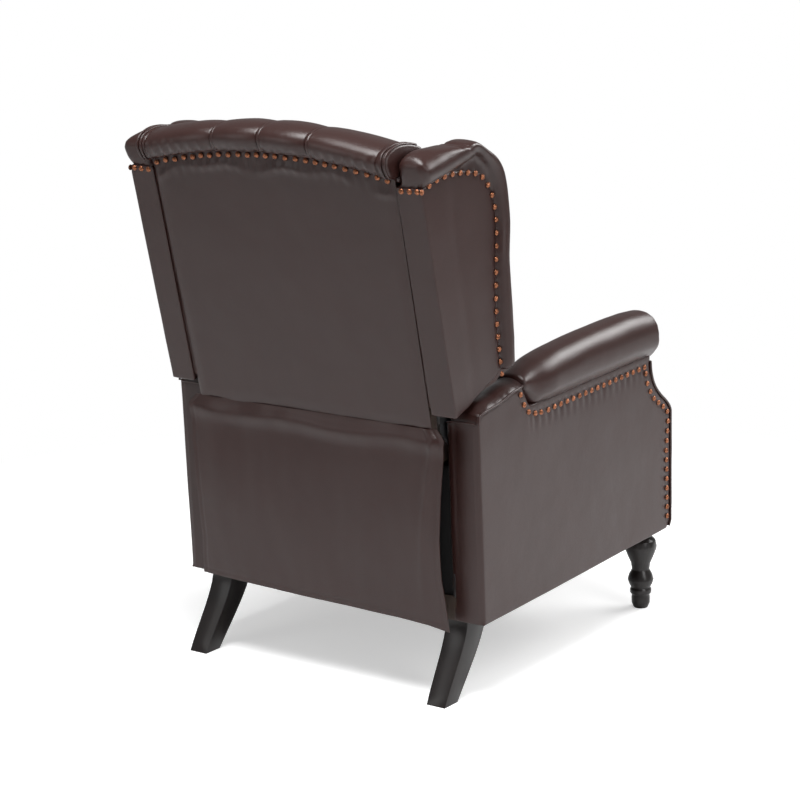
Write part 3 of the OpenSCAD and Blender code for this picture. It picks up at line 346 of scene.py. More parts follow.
def add_node(material, kind, settings=None, **links):
    """Adds a shader node; each link is input name = (node, output) or a plain value."""
    tree = material.node_tree
    node = tree.nodes.new(kind)
    for key, value in (settings or {}).items():
        setattr(node, key, value)
    for key, value in links.items():
        name = key.replace("_", " ")
        socket = node.inputs[int(name[1:])] if name[0] == "i" and name[1:].isdigit() else node.inputs[name]
        if isinstance(value, tuple) and len(value) == 2 and isinstance(value[0], bpy.types.Node):
            tree.links.new(value[0].outputs[value[1]], socket)
        else:
            socket.default_value = value
    return node


def new_material(name):
    material = bpy.data.materials.new(name)
    material.use_nodes = True
    material.node_tree.nodes.clear()
    return material


def close_material(material, shader):
    add_node(material, "ShaderNodeOutputMaterial", Surface=(shader, 0))
    return material


def surface(material, **settings):
    """Closes a material with a principled surface."""
    return close_material(material, add_node(material, "ShaderNodeBsdfPrincipled", **settings))


def rgba(colour, strength=1.0):
    return (colour[0] * strength, colour[1] * strength, colour[2] * strength, 1)


def object_place(material):
    return (add_node(material, "ShaderNodeTexCoord"), "Object")


def clouds(material, place, scale, detail=2.0, distortion=0.0):
    """Noise over the surface; scale is the number of its waves per metre."""
    return (add_node(material, "ShaderNodeTexNoise", Vector=place, Scale=scale, Detail=detail,
                     Distortion=distortion), 0)


def spread(material, value, low, high):
    """A value from 0 to 1 spread between two others."""
    return (add_node(material, "ShaderNodeMapRange", Value=value, To_Min=low, To_Max=high), 0)


def two_tones(material, value, colour, dark, bright):
    """A colour that varies between a darker and a brighter share of itself."""
    tone = add_node(material, "ShaderNodeMix", {"data_type": "RGBA"}, Factor=value)
    tone.inputs["A"].default_value = rgba(colour, dark)
    tone.inputs["B"].default_value = rgba(colour, bright)
    return (tone, "Result")


def relief(material, height, strength, deep, **under):
    """Fine relief of a surface, over a coarser one where that is given; deep is in metres."""
    return (add_node(material, "ShaderNodeBump", Strength=strength, Distance=deep, Height=height, **under), 0)


def bonded_leather(name, colour, grain):
    """Bonded leather: a split hide with a printed grain under a polyurethane film.
    The film gives a soft gloss, and the print shallow pebbles with finer pores."""
    m = new_material(name)
    place = object_place(m)
    cells = add_node(m, "ShaderNodeTexVoronoi", {"feature": "DISTANCE_TO_EDGE"}, Vector=place,
                     Scale=1 / (grain * 1.6))
    pebble = add_node(m, "ShaderNodeMapRange", Value=(cells, "Distance"), From_Max=0.3, To_Max=1.0)
    height = add_node(m, "ShaderNodeMath", {"operation": "MULTIPLY_ADD"},
                      i0=clouds(m, place, scale=1 / (grain * 0.6)), i1=0.35, i2=(pebble, 0))
    folds = relief(m, clouds(m, place, scale=24, detail=3), strength=0.12, deep=0.004)
    wide = clouds(m, place, scale=4)
    return surface(m, Base_Color=two_tones(m, wide, colour, dark=0.9, bright=1.12),
                   Roughness=spread(m, wide, low=0.26, high=0.34), IOR=1.5,
                   Normal=relief(m, (height, 0), strength=0.35, deep=0.0003, Normal=folds))


def plated_nail(name, colour):
    """Copper plated steel nails, antiqued: darker and brighter in small random spots."""
    m = new_material(name)
    place = object_place(m)
    spots = add_node(m, "ShaderNodeMapRange", Value=clouds(m, place, scale=420, detail=3), From_Min=0.35,
                     From_Max=0.7)
    return surface(m, Base_Color=two_tones(m, (spots, 0), colour, dark=0.55, bright=1.25), Metallic=0.85,
                   Roughness=spread(m, clouds(m, place, scale=60), low=0.25, high=0.45))


def grained_wood(name, colour, grain, gloss, contrast):
    """Hardwood: stretched noise gives the grain, and the finish its gloss."""
    m = new_material(name)
    place = (add_node(m, "ShaderNodeMapping", Vector=object_place(m), Scale=grain), 0)
    rings = clouds(m, place, scale=60, detail=5, distortion=0.4)
    pores = clouds(m, place, scale=300)
    return surface(m, Base_Color=two_tones(m, rings, colour, 1 - contrast, 1 + contrast), Roughness=gloss,
                   Normal=relief(m, pores, strength=0.25, deep=0.0003))


def plated_steel(name, colour):
    """Zinc plated steel: a fine rolled grain and a slightly cloudy passivation."""
    m = new_material(name)
    place = object_place(m)
    cloud = clouds(m, place, scale=45, detail=3)
    rolled = clouds(m, place, scale=900)
    return surface(m, Base_Color=two_tones(m, cloud, colour, dark=0.75, bright=1.1), Metallic=1,
                   Roughness=spread(m, cloud, low=0.28, high=0.5),
                   Normal=relief(m, rolled, strength=0.15, deep=0.0001))


def woven_strap(name, colour):
    """Woven elastic webbing: two sets of threads cross, at a thread's real spacing."""
    m = new_material(name)
    place = object_place(m)
    warp, weft = (add_node(m, "ShaderNodeTexWave", {"bands_direction": way}, Vector=place, Scale=0.3 / THREAD)
                  for way in "XZ")
    both = add_node(m, "ShaderNodeMath", {"operation": "MULTIPLY"}, i0=(warp, 1), i1=(weft, 1))
    return surface(m, Base_Color=rgba(colour), Roughness=0.85,
                   Normal=relief(m, (both, 0), strength=0.6, deep=0.0006))


def plain_matt(name, colour, rough):
    """Moulded or spun material with a fine satin surface."""
    m = new_material(name)
    fine = clouds(m, object_place(m), scale=700)
    return surface(m, Base_Color=rgba(colour), Roughness=rough,
                   Normal=relief(m, fine, strength=0.1, deep=0.0002))


def make_materials():
    names, colours = MATERIAL_NAMES, bpy.context.scene.chair_colours
    bonded_leather(names["leather"], colours.leather, bpy.context.scene.chair_sizes.grain)
    plated_nail(names["copper_nails"], colours.nails)
    grained_wood(names["stained_legs"], colours.legs, UPRIGHT_GRAIN, gloss=0.3, contrast=0.25)
    # Painted shade: the timber's colour is darkened for the shadow inside the frame; its grain and gloss are
    # its own
    grained_wood(names["timber"], colours.timber, LEVEL_GRAIN, gloss=0.7, contrast=0.2)
    plated_steel(names["steel"], colours.steel)
    woven_strap(names["webbing"], colours.webbing)
    plain_matt(names["rollers"], colours.rollers, rough=0.5)
    # Black cloth that paints the shade inside the frame
    plain_matt(names["shade_cloth"], colours.shade_cloth, rough=0.9)


def materials():
    """The chair's materials, made once."""
    if MATERIAL_NAMES["leather"] not in bpy.data.materials:
        make_materials()
    return {key: bpy.data.materials[name] for key, name in MATERIAL_NAMES.items()}


# Shared shapes


def bezier(a, b, c, d, t):
    return a * (1 - t) ** 3 + b * 3 * t * (1 - t) ** 2 + c * 3 * t * t * (1 - t) + d * t ** 3


def smooth_step(t):
    t = min(1, max(0, t))
    return t * t * (3 - 2 * t)


def hump(x, centre, width):
    """1 at the centre, falling to nothing about two widths away."""
    return math.exp(-((x - centre) / width) ** 2)


def round_up(t):
    """Rises from 0 to 1 like a quarter of a circle."""
    return math.sqrt(max(0, 1 - (1 - t) ** 2))


def unevenness(p, *layers):
    """Smooth relief in millimetres, as a sum of layers of (height, width of the waves, seed)."""
    return sum(high * noise.noise(Vector((p[0] / wide + seed, p[1] / wide, p[2] / wide)))
               for high, wide, seed in layers)


def press_in(obj, nails, depth, toward):
    """Presses small hollows in a piece's skin around its nails, given in millimetres."""
    tree = BVHTree.FromPolygons([Vector(c) for c in nails], [(i, i, i) for i in range(len(nails))])
    for v in obj.data.vertices:
        p = v.co / MM
        place, _, _, gap = tree.find_nearest(p, HOLLOW_R * 2)
        if place is not None:
            v.co = (p + Vector(toward) * depth * math.exp(-(gap / HOLLOW_R) ** 2 * 2)) * MM
    return obj


# Nails

# Radius and depth of the hollow that a nail presses
HOLLOW_R = 9
HOLLOW = 1.2
# How far a nail's flat underside stands off the arms' and wings' leather and off the back's, and the
# turn from one nail to the next in radians
NAIL_OFF = 0.6
BACK_NAIL_OFF = 0.8
NAIL_SPIN = 2.4
# Hammer marks: their depth as a share of the dome, their number per metre and the noise's seeds
DENT_SHARE = 0.36
DENTS = 700
DENT_SEEDS = (3.7, 1.3)

# Nails of an arm as (depth, height): up its rear seam, under the roll, round the S and down the front
ARM_REAR_NAILS = [(-137.5, 392), (-148, 371), (-162, 354.5), (-183, 347), (-202, 344.5), (-226, 343)]
ARM_ROW = (-247, -568)
ARM_ROW_H = 344
ARM_ROW_COUNT = 16
ARM_BEND = [(-573, 330), (-580, 306), (-603, 273), (-630, 255), (-652, 236)]
ARM_BEND_COUNT = 7
ARM_DOWN = ((-654, 216), (-646, 24))
ARM_DOWN_COUNT = 11
ARM_DOWN_TURN = 3
WING_NAIL_COUNT = 25
# Nails across a wing's rear strip, as (distance from the middle, height)
STRIP_NAILS = [(280, 443), (297, 443.5), (313, 444)]
BACK_NAIL_STEPS = 12
BACK_NAIL_SHARE = 0.95
BACK_NAIL_DROP = 6.5
# Hand-set nails wander across and up: by how much, and the angle from one nail to the next
BACK_NAIL_WANDER = ((1.5, 5.3), (0.8, 3.1))


def nail_master():
    """One domed nail head, looking along +Z, flat underneath."""
    sizes = bpy.context.scene.chair_sizes
    half, high = sizes.nail_width / 2, sizes.nail_height
    r = (half * half + high * high) / (2 * high)
    deselect_all()
    bpy.ops.mesh.primitive_uv_sphere_add(segments=14, ring_count=24, radius=r, location=(0, 0, high - r))
    obj = bpy.context.object
    bpy.ops.object.transform_apply(location=True)
    bpy.ops.object.mode_set(mode="EDIT")
    bpy.ops.mesh.select_all(action="SELECT")
    bpy.ops.mesh.bisect(plane_co=(0, 0, 0), plane_no=(0, 0, 1), clear_inner=True, use_fill=True)
    bpy.ops.object.mode_set(mode="OBJECT")
    return obj


def nail_row(name, places, matrix, body, node):
    """Copies of the nail head at (point, direction) pairs in millimetres, as one piece."""
    master = nail_master()
    points = [v.co.copy() for v in master.data.vertices]
    faces = [tuple(f.vertices) for f in master.data.polygons]
    all_points, all_faces = [], []
    along, across = DENT_SEEDS
    for k, (place, direction) in enumerate(places):
        spin = Matrix.Rotation(k * NAIL_SPIN, 3, "Z")
        turn = Vector(direction).to_track_quat("Z", "Y").to_matrix() @ spin
        base = len(all_points)
        for p in points:
            dent = 1 + DENT_SHARE * noise.noise(Vector((p.x * DENTS + k * along, p.y * DENTS, across)))
            q = Vector((p.x, p.y, p.z * dent if p.z > 0 else p.z))
            all_points.append(Vector(place) + turn @ q / MM)
        all_faces += [tuple(base + i for i in f) for f in faces]
    bpy.data.objects.remove(master)
    obj = mesh_object(name, all_points, all_faces)
    return finish_piece(obj, matrix, body, "copper_nails", node, smooth=60)


def arm_nail_points():
    row = [(mix(*ARM_ROW, i / (ARM_ROW_COUNT - 1)), ARM_ROW_H) for i in range(ARM_ROW_COUNT)]
    (top_y, top_z), (low_y, low_z) = ARM_DOWN
    down = [(mix(top_y, low_y, min(1, i / ARM_DOWN_TURN)), mix(top_z, low_z, i / (ARM_DOWN_COUNT - 1)))
            for i in range(ARM_DOWN_COUNT)]
    return ARM_REAR_NAILS + row + flat_path(ARM_BEND, ARM_BEND_COUNT) + down


def wing_nail_points():
    return flat_path(WING_NAILS, WING_NAIL_COUNT)


def back_nail_points():
    points = []
    (wide, wide_turn), (high, high_turn) = BACK_NAIL_WANDER
    for i in range(2 * BACK_NAIL_STEPS + 1):
        u = (i / BACK_NAIL_STEPS - 1) * BACK_NAIL_SHARE
        points.append((u * BACK_HALF_W + wide * math.sin(i * wide_turn),
                       nail_line(u) - BACK_NAIL_DROP + high * math.sin(i * high_turn)))
    return points


def nail_line(u):
    """Height of the nailed line of the back, at a share of its half width."""
    return NAIL_H - NAIL_ARCH * u * u


class RECLINER_OT_nails(bpy.types.Operator):
    """Copper nails along the arms, the wings and the back"""
    bl_idname = "recliner.nails"
    bl_label = "Nails"

    def execute(self, context):
        for side, s in SIDES:
            places = [((s * (ARM_OUT + NAIL_OFF), y, z), (s, 0, 0)) for y, z in arm_nail_points()]
            nail_row(side + "_arm_copper_nails", places, BODY, "base", side + "_arm_nails")
            places = [((s * (WING_OUT + NAIL_OFF), y, z), (s, 0, 0)) for y, z in wing_nail_points()]
            places += [((s * x, NAIL_OFF, z), (0, 1, 0)) for x, z in STRIP_NAILS]
            nail_row(side + "_wing_copper_nails", places, BACK, "back", side + "_wing_nails")
        places = [((x, BACK_NAIL_OFF, z), (0, 1, 0)) for x, z in back_nail_points()]
        nail_row("back_copper_nails", places, BACK, "back", "back_nails")
        return {"FINISHED"}


# Arms

ARM_MID_X = (ARM_IN + ARM_OUT) / 2
ARM_HALF = (ARM_OUT - ARM_IN) / 2
ARM_SKIN = 12
# The sewn line along the arm's top, behind its roll, as (depth, height), and the welt of its rear edge
ARM_WELT = [(-2, 371), (-9, 385), (-40, 389.5), (-72, 393), (-111, 402), (-137, 405), (-144, 408)]
REAR_WELT = [(274, -2, 367), (290, -0.5, 370.5), (320, -0.5, 371), (334, -2, 370)]
REAR_WELT_SHARE = 0.7
REAR_FACE_H = 366
REAR_FACE_D = 22
ARM_CORE_H = 366
ARM_CROWN = 11
# Puckers that the nails pull under the roll
ARM_PULL_Y = -165
ARM_PULL_DEPTH = 1.7
ARM_PULL_START = 183
ARM_NAIL_PITCH = 21.4
# The S of the front edge: how far its two ends pull, as shares of its push and of its drop
NECK_PULL_SHARE = 0.64
SHOULDER_PULL_SHARES = (0.16, 0.31)
S_STEPS = 24
FOOT_SHARE = 0.99
FOOT_CHAMFER = 12
FACING_D = 8
FACING_FOOT_SHARES = [(FOOT_SHARE, 14), (0.98, 3)]
FACING_INSET = 0.5
FACING_PROUD = 1.5


def arm_curve():
    """The S of the arm's front edge, from the neck under the roll to the shoulder, as (depth, height)."""
    neck, shoulder = Vector((-NECK_LEN, ROLL_LINE_H)), Vector((-ARM_LEN, SHOULDER_H))
    drop, push = ROLL_LINE_H - SHOULDER_H, ARM_LEN - NECK_LEN
    along, up = SHOULDER_PULL_SHARES
    neck_pull = neck - Vector((0, drop * NECK_PULL_SHARE))
    shoulder_pull = shoulder + Vector((push * along, drop * up))
    return [bezier(neck, neck_pull, shoulder_pull, shoulder, i / S_STEPS) for i in range(S_STEPS + 1)]


def arm_outline():
    """Side view of an arm's upholstered body, without its roll."""
    under_roll = [(-151, 392), (-160, 374), (-170, ARM_CORE_H), (-NECK_LEN + 2, ARM_CORE_H)]
    foot = -ARM_LEN * FOOT_SHARE
    return ([Vector(p) for p in [(0, 0)] + ARM_WELT + under_roll] + arm_curve()
            + [Vector((foot, FOOT_CHAMFER)), Vector((foot + FOOT_CHAMFER, 0))])


def arm_body(side, s):
    """Leather over an arm's frame: outer and inner panels, rear facing and top strip as one tight skin."""
    core = plate("core", arm_outline(), s * ARM_IN, s * ARM_OUT)
    face = plate("face", [(0, 0), (0, REAR_FACE_H), (-REAR_FACE_D, REAR_FACE_H), (-REAR_FACE_D, 0)],
                 s * REAR_FACE_IN, s * (ARM_IN + 4))
    obj = join(side + "_arm_leather", [core, face])
    soften(obj, voxel=0.004, rounds=3)

    def rule(p):
        q = Vector(p)
        x = abs(p.x)
        if x > ARM_OUT - ARM_SKIN:
            q.x += s * unevenness(p, (0.9, 130, 3 + s), (0.35, 45, 10 + s))
        if p.z > 362 and p.y > -147:
            across = max(0, 1 - ((x - ARM_MID_X) / ARM_HALF) ** 2)
            q.z += ARM_CROWN * across * smooth_step((p.z - 364) / 10) * smooth_step(-p.y / 40)
        if p.y > -3:
            q.y -= 1.5 * hump(x, ARM_OUT - 6, 1.8) - unevenness(p, (0.5, 60, 5))
        if x > ARM_OUT - 2 and -NECK_LEN < p.y < ARM_PULL_Y and p.z < ROLL_LINE_H + 1:
            pull = smooth_step((p.z - 306) / 30) * (0.6 + unevenness(p, (0.4, 25, 4)))
            q.x -= (s * ARM_PULL_DEPTH * pull
                    * (1 + math.cos((p.y + ARM_PULL_START) / ARM_NAIL_PITCH * 2 * math.pi)) / 2)
        return q
    move_points(obj, rule)
    press_in(obj, [(s * ARM_OUT, y, z) for y, z in arm_nail_points()], HOLLOW, (-s, 0, 0))
    side_welt = smooth_path([(s * (ARM_OUT + NAIL_OFF), y, z) for y, z in ARM_WELT], 40)
    rear_welt = smooth_path([(s * x, y, z) for x, y, z in REAR_WELT], 16)
    obj = join(side + "_arm_leather", [obj, welt(side_welt), welt(rear_welt, REAR_WELT_SHARE)])
    return leather_piece(obj, BODY, "base", side + "_arm_cover")


def arm_facing(side, s):
    """The welt and the narrow facing that close the arm's front edge."""
    outer = arm_curve() + [Vector((-ARM_LEN * share, z)) for share, z in FACING_FOOT_SHARES]
    outline = outer + [p - Vector((FACING_D, 0)) for p in reversed(outer)]
    obj = plate("facing", outline, s * (ARM_IN + FACING_INSET), s * (ARM_OUT + FACING_PROUD))
    parts = [soften(obj, voxel=0.003, rounds=3)]
    for x in (ARM_OUT + FACING_INSET, ARM_IN + FACING_PROUD):
        parts.append(welt([(s * x, p[0] - 1, p[1]) for p in outer]))
    obj = join(side + "_arm_front_leather", parts)
    return leather_piece(obj, BODY, "base", side + "_arm_front")


# Arm rolls: fullness along the roll, as (share of its length, share of its height)
ROLL_CROWN_SHARES = [(0, 0.7), (0.06, 0.79), (0.14, 0.88), (0.25, 0.94), (0.4, 0.98), (0.55, 1), (0.8, 1),
                     (0.9, 0.985), (1, 0.95)]
ROLL_MID_X = 313
ROLL_HALF = 44
ROLL_H = 102
ROLL_AXIS_H = 50
ROLL_STEPS = 60
ROLL_SIDES = 64
# How square the roll's section is, and how much narrower its underside is
ROLL_POWER = 0.85
UNDERSIDE_FROM = -0.3
UNDERSIDE_RUN = 0.5
UNDERSIDE_SHARE = 0.8
# The rear end starts flush with the arm and widens, and its underside falls to the nailed line
ROLL_START_LAP = 5
ROLL_END_LAP = 4
ROLL_START_SHARE = 0.7
ROLL_WIDEN = 95
ROLL_REAR_RISE = 40
ROLL_REAR_SHARE = 0.1
# The front scroll: rounding steps, length, its shares and the place of its last ring
SCROLL_STEPS = 8
SCROLL_LEN = 12
SCROLL_SHARES = (0.95, 0.9, 0.55, 0.25)
SCROLL_END = 11
# Gathers along the nailed line: height, depth and pitch
ROLL_GATHERS = (22, 0.9, 22)
# Pleats of the front scroll: share of the length where they begin, height of their middle, depth and number
PLEATS_FROM = 0.97
PLEATS_MID = 48
PLEAT_DEPTH = 1.6
PLEATS = 9


def roll_ring(s, y, crown, low_z, shrink=1.0):
    """A section of an arm's roll at a distance from the rear face."""
    start_wide = mix(ROLL_START_SHARE, 1, smooth_step((y - ROLL_START + ROLL_START_LAP) / ROLL_WIDEN))
    mid_z, half_z = (crown + low_z) / 2, (crown - low_z) / 2
    points = []
    for j in range(ROLL_SIDES):
        a = 2 * math.pi * j / ROLL_SIDES
        ca, sa = math.cos(a), math.sin(a)
        under = min(1, (-sa + UNDERSIDE_FROM) / UNDERSIDE_RUN)
        wide = ROLL_HALF * start_wide * (1 if sa > UNDERSIDE_FROM else mix(1, UNDERSIDE_SHARE, under))
        x = ROLL_MID_X + shrink * wide * math.copysign(abs(ca) ** ROLL_POWER, ca)
        z = mid_z + shrink * half_z * math.copysign(abs(sa) ** ROLL_POWER, sa)
        points.append(Vector((s * x, -y, z)))
    return points


def arm_roll(side, s):
    """The padded roll on an arm, drawn in under its overhang and closed by a pleated front scroll."""
    rings = []
    start, end, low = ROLL_START - ROLL_START_LAP, NECK_LEN + ROLL_END_LAP, ROLL_LINE_H
    for i in range(ROLL_STEPS + 1):
        t = i / ROLL_STEPS
        crown = low + ROLL_H * lookup(t, ROLL_CROWN_SHARES)
        rear_rise = ROLL_REAR_RISE * (1 - smooth_step(t / ROLL_REAR_SHARE))
        rings.append(roll_ring(s, mix(start, end, t), crown, low + rear_rise))
    full, flat, narrow, closed = SCROLL_SHARES
    for k in range(1, SCROLL_STEPS + 1):
        a = k / SCROLL_STEPS * math.pi / 2
        crown = low + ROLL_H * mix(full, flat, k / SCROLL_STEPS)
        shrink = mix(1, narrow, 1 - math.cos(a))
        rings.append(roll_ring(s, end + SCROLL_LEN * math.sin(a), crown, low, shrink))
    rings.append(roll_ring(s, end + SCROLL_END, low + ROLL_H * flat, low, closed))
    obj = loft(side + "_arm_roll_leather", rings)
    gather_h, gather_deep, gather_pitch = ROLL_GATHERS

    def rule(p):
        q = Vector(p)
        across = Vector((p.x - s * ROLL_MID_X, 0, p.z - (low + ROLL_AXIS_H)))
        if across.length > 1:
            across.normalize()
            t = (-p.y - start) / (end - start)
            q += across * (unevenness(p, (0.8, 90, 11 + s)) + unevenness((p.x, p.y * 0.5, p.z), (0.5, 30, 5)))
            if p.z < low + gather_h:
                q += (across * gather_deep * math.cos(-p.y / gather_pitch * 2 * math.pi)
                      * (1 - (p.z - low) / gather_h))
            if t > PLEATS_FROM:
                turn = math.atan2(p.z - low - PLEATS_MID, (p.x - s * ROLL_MID_X) * s)
                fade = min(1, (t - PLEATS_FROM) / (1 - PLEATS_FROM))
                q.y -= PLEAT_DEPTH * abs(math.sin(turn * PLEATS)) * fade
        return q
    move_points(obj, rule)
    apply_modifier(obj, "SUBSURF", levels=1, render_levels=1)
    return leather_piece(obj, BODY, "base", side + "_arm_roll")


class RECLINER_OT_arms(bpy.types.Operator):
    """Leather of the arms: body, front facing with its welts, and padded roll"""
    bl_idname = "recliner.arms"
    bl_label = "Arms"

    def execute(self, context):
        for side, s in SIDES:
            arm_body(side, s)
            arm_facing(side, s)
            arm_roll(side, s)
        return {"FINISHED"}


# Back

# The cushion's half width between the wings' tops, and its sewn seams
PAD_HALF = 255.4
SEAMS = (-105, 0, 105)
# How round a channel is; its lips over a seam and at the cushion's ends keep more of their fullness
CHANNEL_POWER = 0.45
SEAM_LIP_SHARE = 0.45
END_LIP_SHARE = 0.3
PAD_D = 158
SEAM_DROP = 8
CREASE_SHARE = 0.62
# What a seam leaves of the cushion's depth and of its roll's overhang
SEAM_SHARES = (0.93, 0.5)
# The cushion's outline, as shares and as [depth, height]: out from the nails to the crease, in to the crest,
# forward over the crest, down its face and back under it to the rear panel
LOWER_ROLL_SHARES = [(0.6, 0.16), (0.88, 0.5), (1, 0.93)]
UPPER_ROLL_SHARES = [(0.86, 0.4), (0.4, 0.82)]
CREST_FALL = [(-14, 0), (-41, 5), (-63, 13.5), (-82, 24.5), (-101, 39.5), (-120, 58.5), (-134, 79)]
BROW_SHARE = 0.93
BROW_FALL = 106
FACE_SHARES = [(0.95, 400), (0.95, 300), (0.98, 190), (1.02, 80), (1.01, 0), (0.95, -45), (0.8, -68),
               (0.6, -75)]
PAD_REAR = [(-63, -75), (-63, 180), (-63, 445), (-40, 448.5), (-6, 448.5)]
PAD_SIDES = 150
PAD_STEPS = 150
# Closer steps beside a seam
SEAM_STEPS = range(-20, 12)
SEAM_STEP = 0.7
# Above this height the leather's relief faces the axis of the cushion's roll
RELIEF_TURN_H = 440
RELIEF_AXIS = (-25, 497)
# Relief shows in front of the rear panel and over the roll
RELIEF_FROM = (-66, 470)
# Groove of a seam and the fold beside it: depth, distance from the seam and width
SEAM_FOLDS = ((3.2, 0.5, 1.7), (1.3, -8, 1.5))
# Gathers above the nails of the back: their pitch, how far up and out they begin, and their depth
GATHER_PITCH = 21.3
GATHER_H = 12
GATHER_FROM = 3
GATHER_RUN = 10
GATHER_DEPTH = 1.3

# The end of the cushion's roll: points of the cushion's outline it carries on, its rest, its rings and welts
END_SEEN = 10
ROLL_END_REST = [(-84, 484), (-86, 470), (-76, 458), (-40, 452), (-10, 453), (-6, 466)]
END_RING_SHARES = ((250, 0.985), (262, 1), (269, 1), (272.5, 0.985), (274.5, 0.95), (275, 0.85), (275, 0.3))
END_WELT_SHARES = ((272, 1.01), (264, 1.02))
END_SIDES = 90
END_WELT_FROM = (-70, 462)


def channel(x):
    """Fullness of the back cushion across its width: 1 in a channel's middle, 0 in a seam."""
    edges = [-PAD_HALF, *SEAMS, PAD_HALF]
    a, b = next((a, b) for a, b in zip(edges, edges[1:]) if a <= x <= b)
    f = (x - a) / (b - a)
    full = math.sin(math.pi * f) ** CHANNEL_POWER
    if f > 0.5:
        full = 1 - (1 - full) * SEAM_LIP_SHARE
    if a == edges[0] and f < 0.5 or b == edges[-1] and f > 0.5:
        full = 1 - (1 - full) * END_LIP_SHARE
    return full


def cushion_profile(x):
    """Closed outline of the back cushion at a distance from the middle, as (depth, height)."""
    u = x / BACK_HALF_W
    full = channel(x)
    nail = nail_line(u)
    crest = CREST_H - CREST_ARCH * u * u - SEAM_DROP * (1 - full)
    crease = mix(nail, crest, CREASE_SHARE)
    deep = PAD_D * mix(SEAM_SHARES[0], 1, full)
    out = CREASE_OUT * mix(SEAM_SHARES[1], 1, full)
    return ([(0.4, nail + 0.5)]
            + [(out * wide, mix(nail, crease, rise)) for wide, rise in LOWER_ROLL_SHARES]
            + [(out * wide, mix(crease, crest, rise)) for wide, rise in UPPER_ROLL_SHARES]
            + [(y, crest - fall) for y, fall in CREST_FALL]
            + [(-deep * BROW_SHARE, crest - BROW_FALL)]
            + [(-deep * share, z) for share, z in FACE_SHARES]
            + PAD_REAR + [(PAD_REAR[-1][0], nail)])


def cushion_rule(p):
    """Unevenness of the cushion's leather, the folds beside its seams and the gathers at the nails."""
    q = Vector(p)
    inward = Vector((0, 1, 0))
    if p.z > RELIEF_TURN_H:
        inward = Vector((0, RELIEF_AXIS[0] - p.y, RELIEF_AXIS[1] - p.z)).normalized()
    if p.y < RELIEF_FROM[0] or p.z > RELIEF_FROM[1]:
        q -= inward * unevenness(p, (0.9, 60, 21))
        for seam in SEAMS:
            q += inward * sum(deep * hump(p.x, seam + beside, wide) for deep, beside, wide in SEAM_FOLDS)
    if p.y > GATHER_FROM and p.z < NAIL_H + GATHER_H:
        q.y += GATHER_DEPTH * math.cos(p.x / GATHER_PITCH * 2 * math.pi) * min(1, p.y / GATHER_RUN)
    return q


def roll_end(s):
    """End of the cushion's roll beside a wing's top, closed and piped twice."""
    seen = cushion_profile(PAD_HALF)[:END_SEEN]
    outline = smooth_path([(y, z, 0) for y, z in seen + ROLL_END_REST], END_SIDES, True)
    mid = sum(outline, Vector()) / len(outline)

    def ring(x, share):
        return [(s * x, p[0], p[1]) for p in (mid.lerp(q, share) for q in outline)]
    parts = [loft("end", [ring(x, share) for x, share in END_RING_SHARES])]
    for x, share in END_WELT_SHARES:
        path = [p for p in ring(x, share) if p[1] > END_WELT_FROM[0] and p[2] > END_WELT_FROM[1]]
        start = max(range(len(path)), key=lambda k: (Vector(path[k]) - Vector(path[k - 1])).length)
        parts.append(welt(path[start:] + path[:start]))
    return join("end", parts)


class RECLINER_OT_back_cushion(bpy.types.Operator):
    """Channelled back cushion that rolls over the top rail to the nailed line, with its piped ends"""
    bl_idname = "recliner.back_cushion"
    bl_label = "Back cushion"

    def execute(self, context):
        places = {round(mix(-PAD_HALF, PAD_HALF, i / PAD_STEPS), 3) for i in range(PAD_STEPS + 1)}
        for seam in SEAMS:
            places |= {seam + k * SEAM_STEP for k in SEAM_STEPS}
        rings = [[(x, y, z) for y, z in flat_path(cushion_profile(x), PAD_SIDES, True)]
                 for x in sorted(places)]
        obj = move_points(loft("cushion", rings), cushion_rule)
        obj = join("back_cushion_leather", [obj, roll_end(1), roll_end(-1)])
        leather_piece(obj, BACK, "back", "back_cushion")
        return {"FINISHED"}


BACK_COLS = 130
BACK_ROWS = 110
BACK_FOOT_SHARE = 0.98
# Drop of the lower edge at the middle and more at the corners
BACK_DROP = (2, 5)
# Depths of the panel's edges and of its hidden rear, and its crown
EDGE_IN = 3.2
PANEL_REAR = -4.6
PANEL_CROWN = 1.5
# Puckers below the nails: their reach, rise and depth, and the distance over which they fade at the edge
PUCKER_REACH = 46
PUCKER_RISE = 40
PUCKER_DEPTH = 1.4
PUCKER_FADE = 14
# The slack fold under the puckers: its drop, its waves as (height, length, start), its height and half width
SLACK_DROP = 27
SLACK_WAVES = ((7, 43, 1), (5, 19, 0))
SLACK_H = 5
SLACK_WIDE = 8


def outside_back_point(u, v):
    """A point of the outside back: u across from -1 to 1, v up from 0 to 1."""
    top = nail_line(u)
    z = mix(-BACK_DROP[0] - BACK_DROP[1] * u ** 4, top, v)
    x = mix(u * BACK_HALF_W * BACK_FOOT_SHARE, u * BACK_HALF_W, v)
    edge = min(1, (1 - abs(u)) * 14, v * 20 + 0.15, (1 - v) * 12 + 0.3)
    drop = top - z
    pucker = smooth_step((PUCKER_REACH - drop) / PUCKER_RISE) * smooth_step(drop / PUCKER_FADE)
    slack = SLACK_DROP + sum(high * math.sin(x / long + start) for high, long, start in SLACK_WAVES)
    y = PANEL_CROWN * math.sin(math.pi * v) * (1 - u * u)
    y += unevenness((x, 0, z), (0.8, 110, 2), (0.3, 40, 9))
    y += PUCKER_DEPTH * pucker * math.cos(x / GATHER_PITCH * 2 * math.pi)
    y += SLACK_H * hump(drop, slack, SLACK_WIDE) * max(0, 0.5 + unevenness((x, 0, 5), (1, 80, 4)))
    return Vector((x, EDGE_IN * (edge ** 0.5 - 1) + y * edge, z))


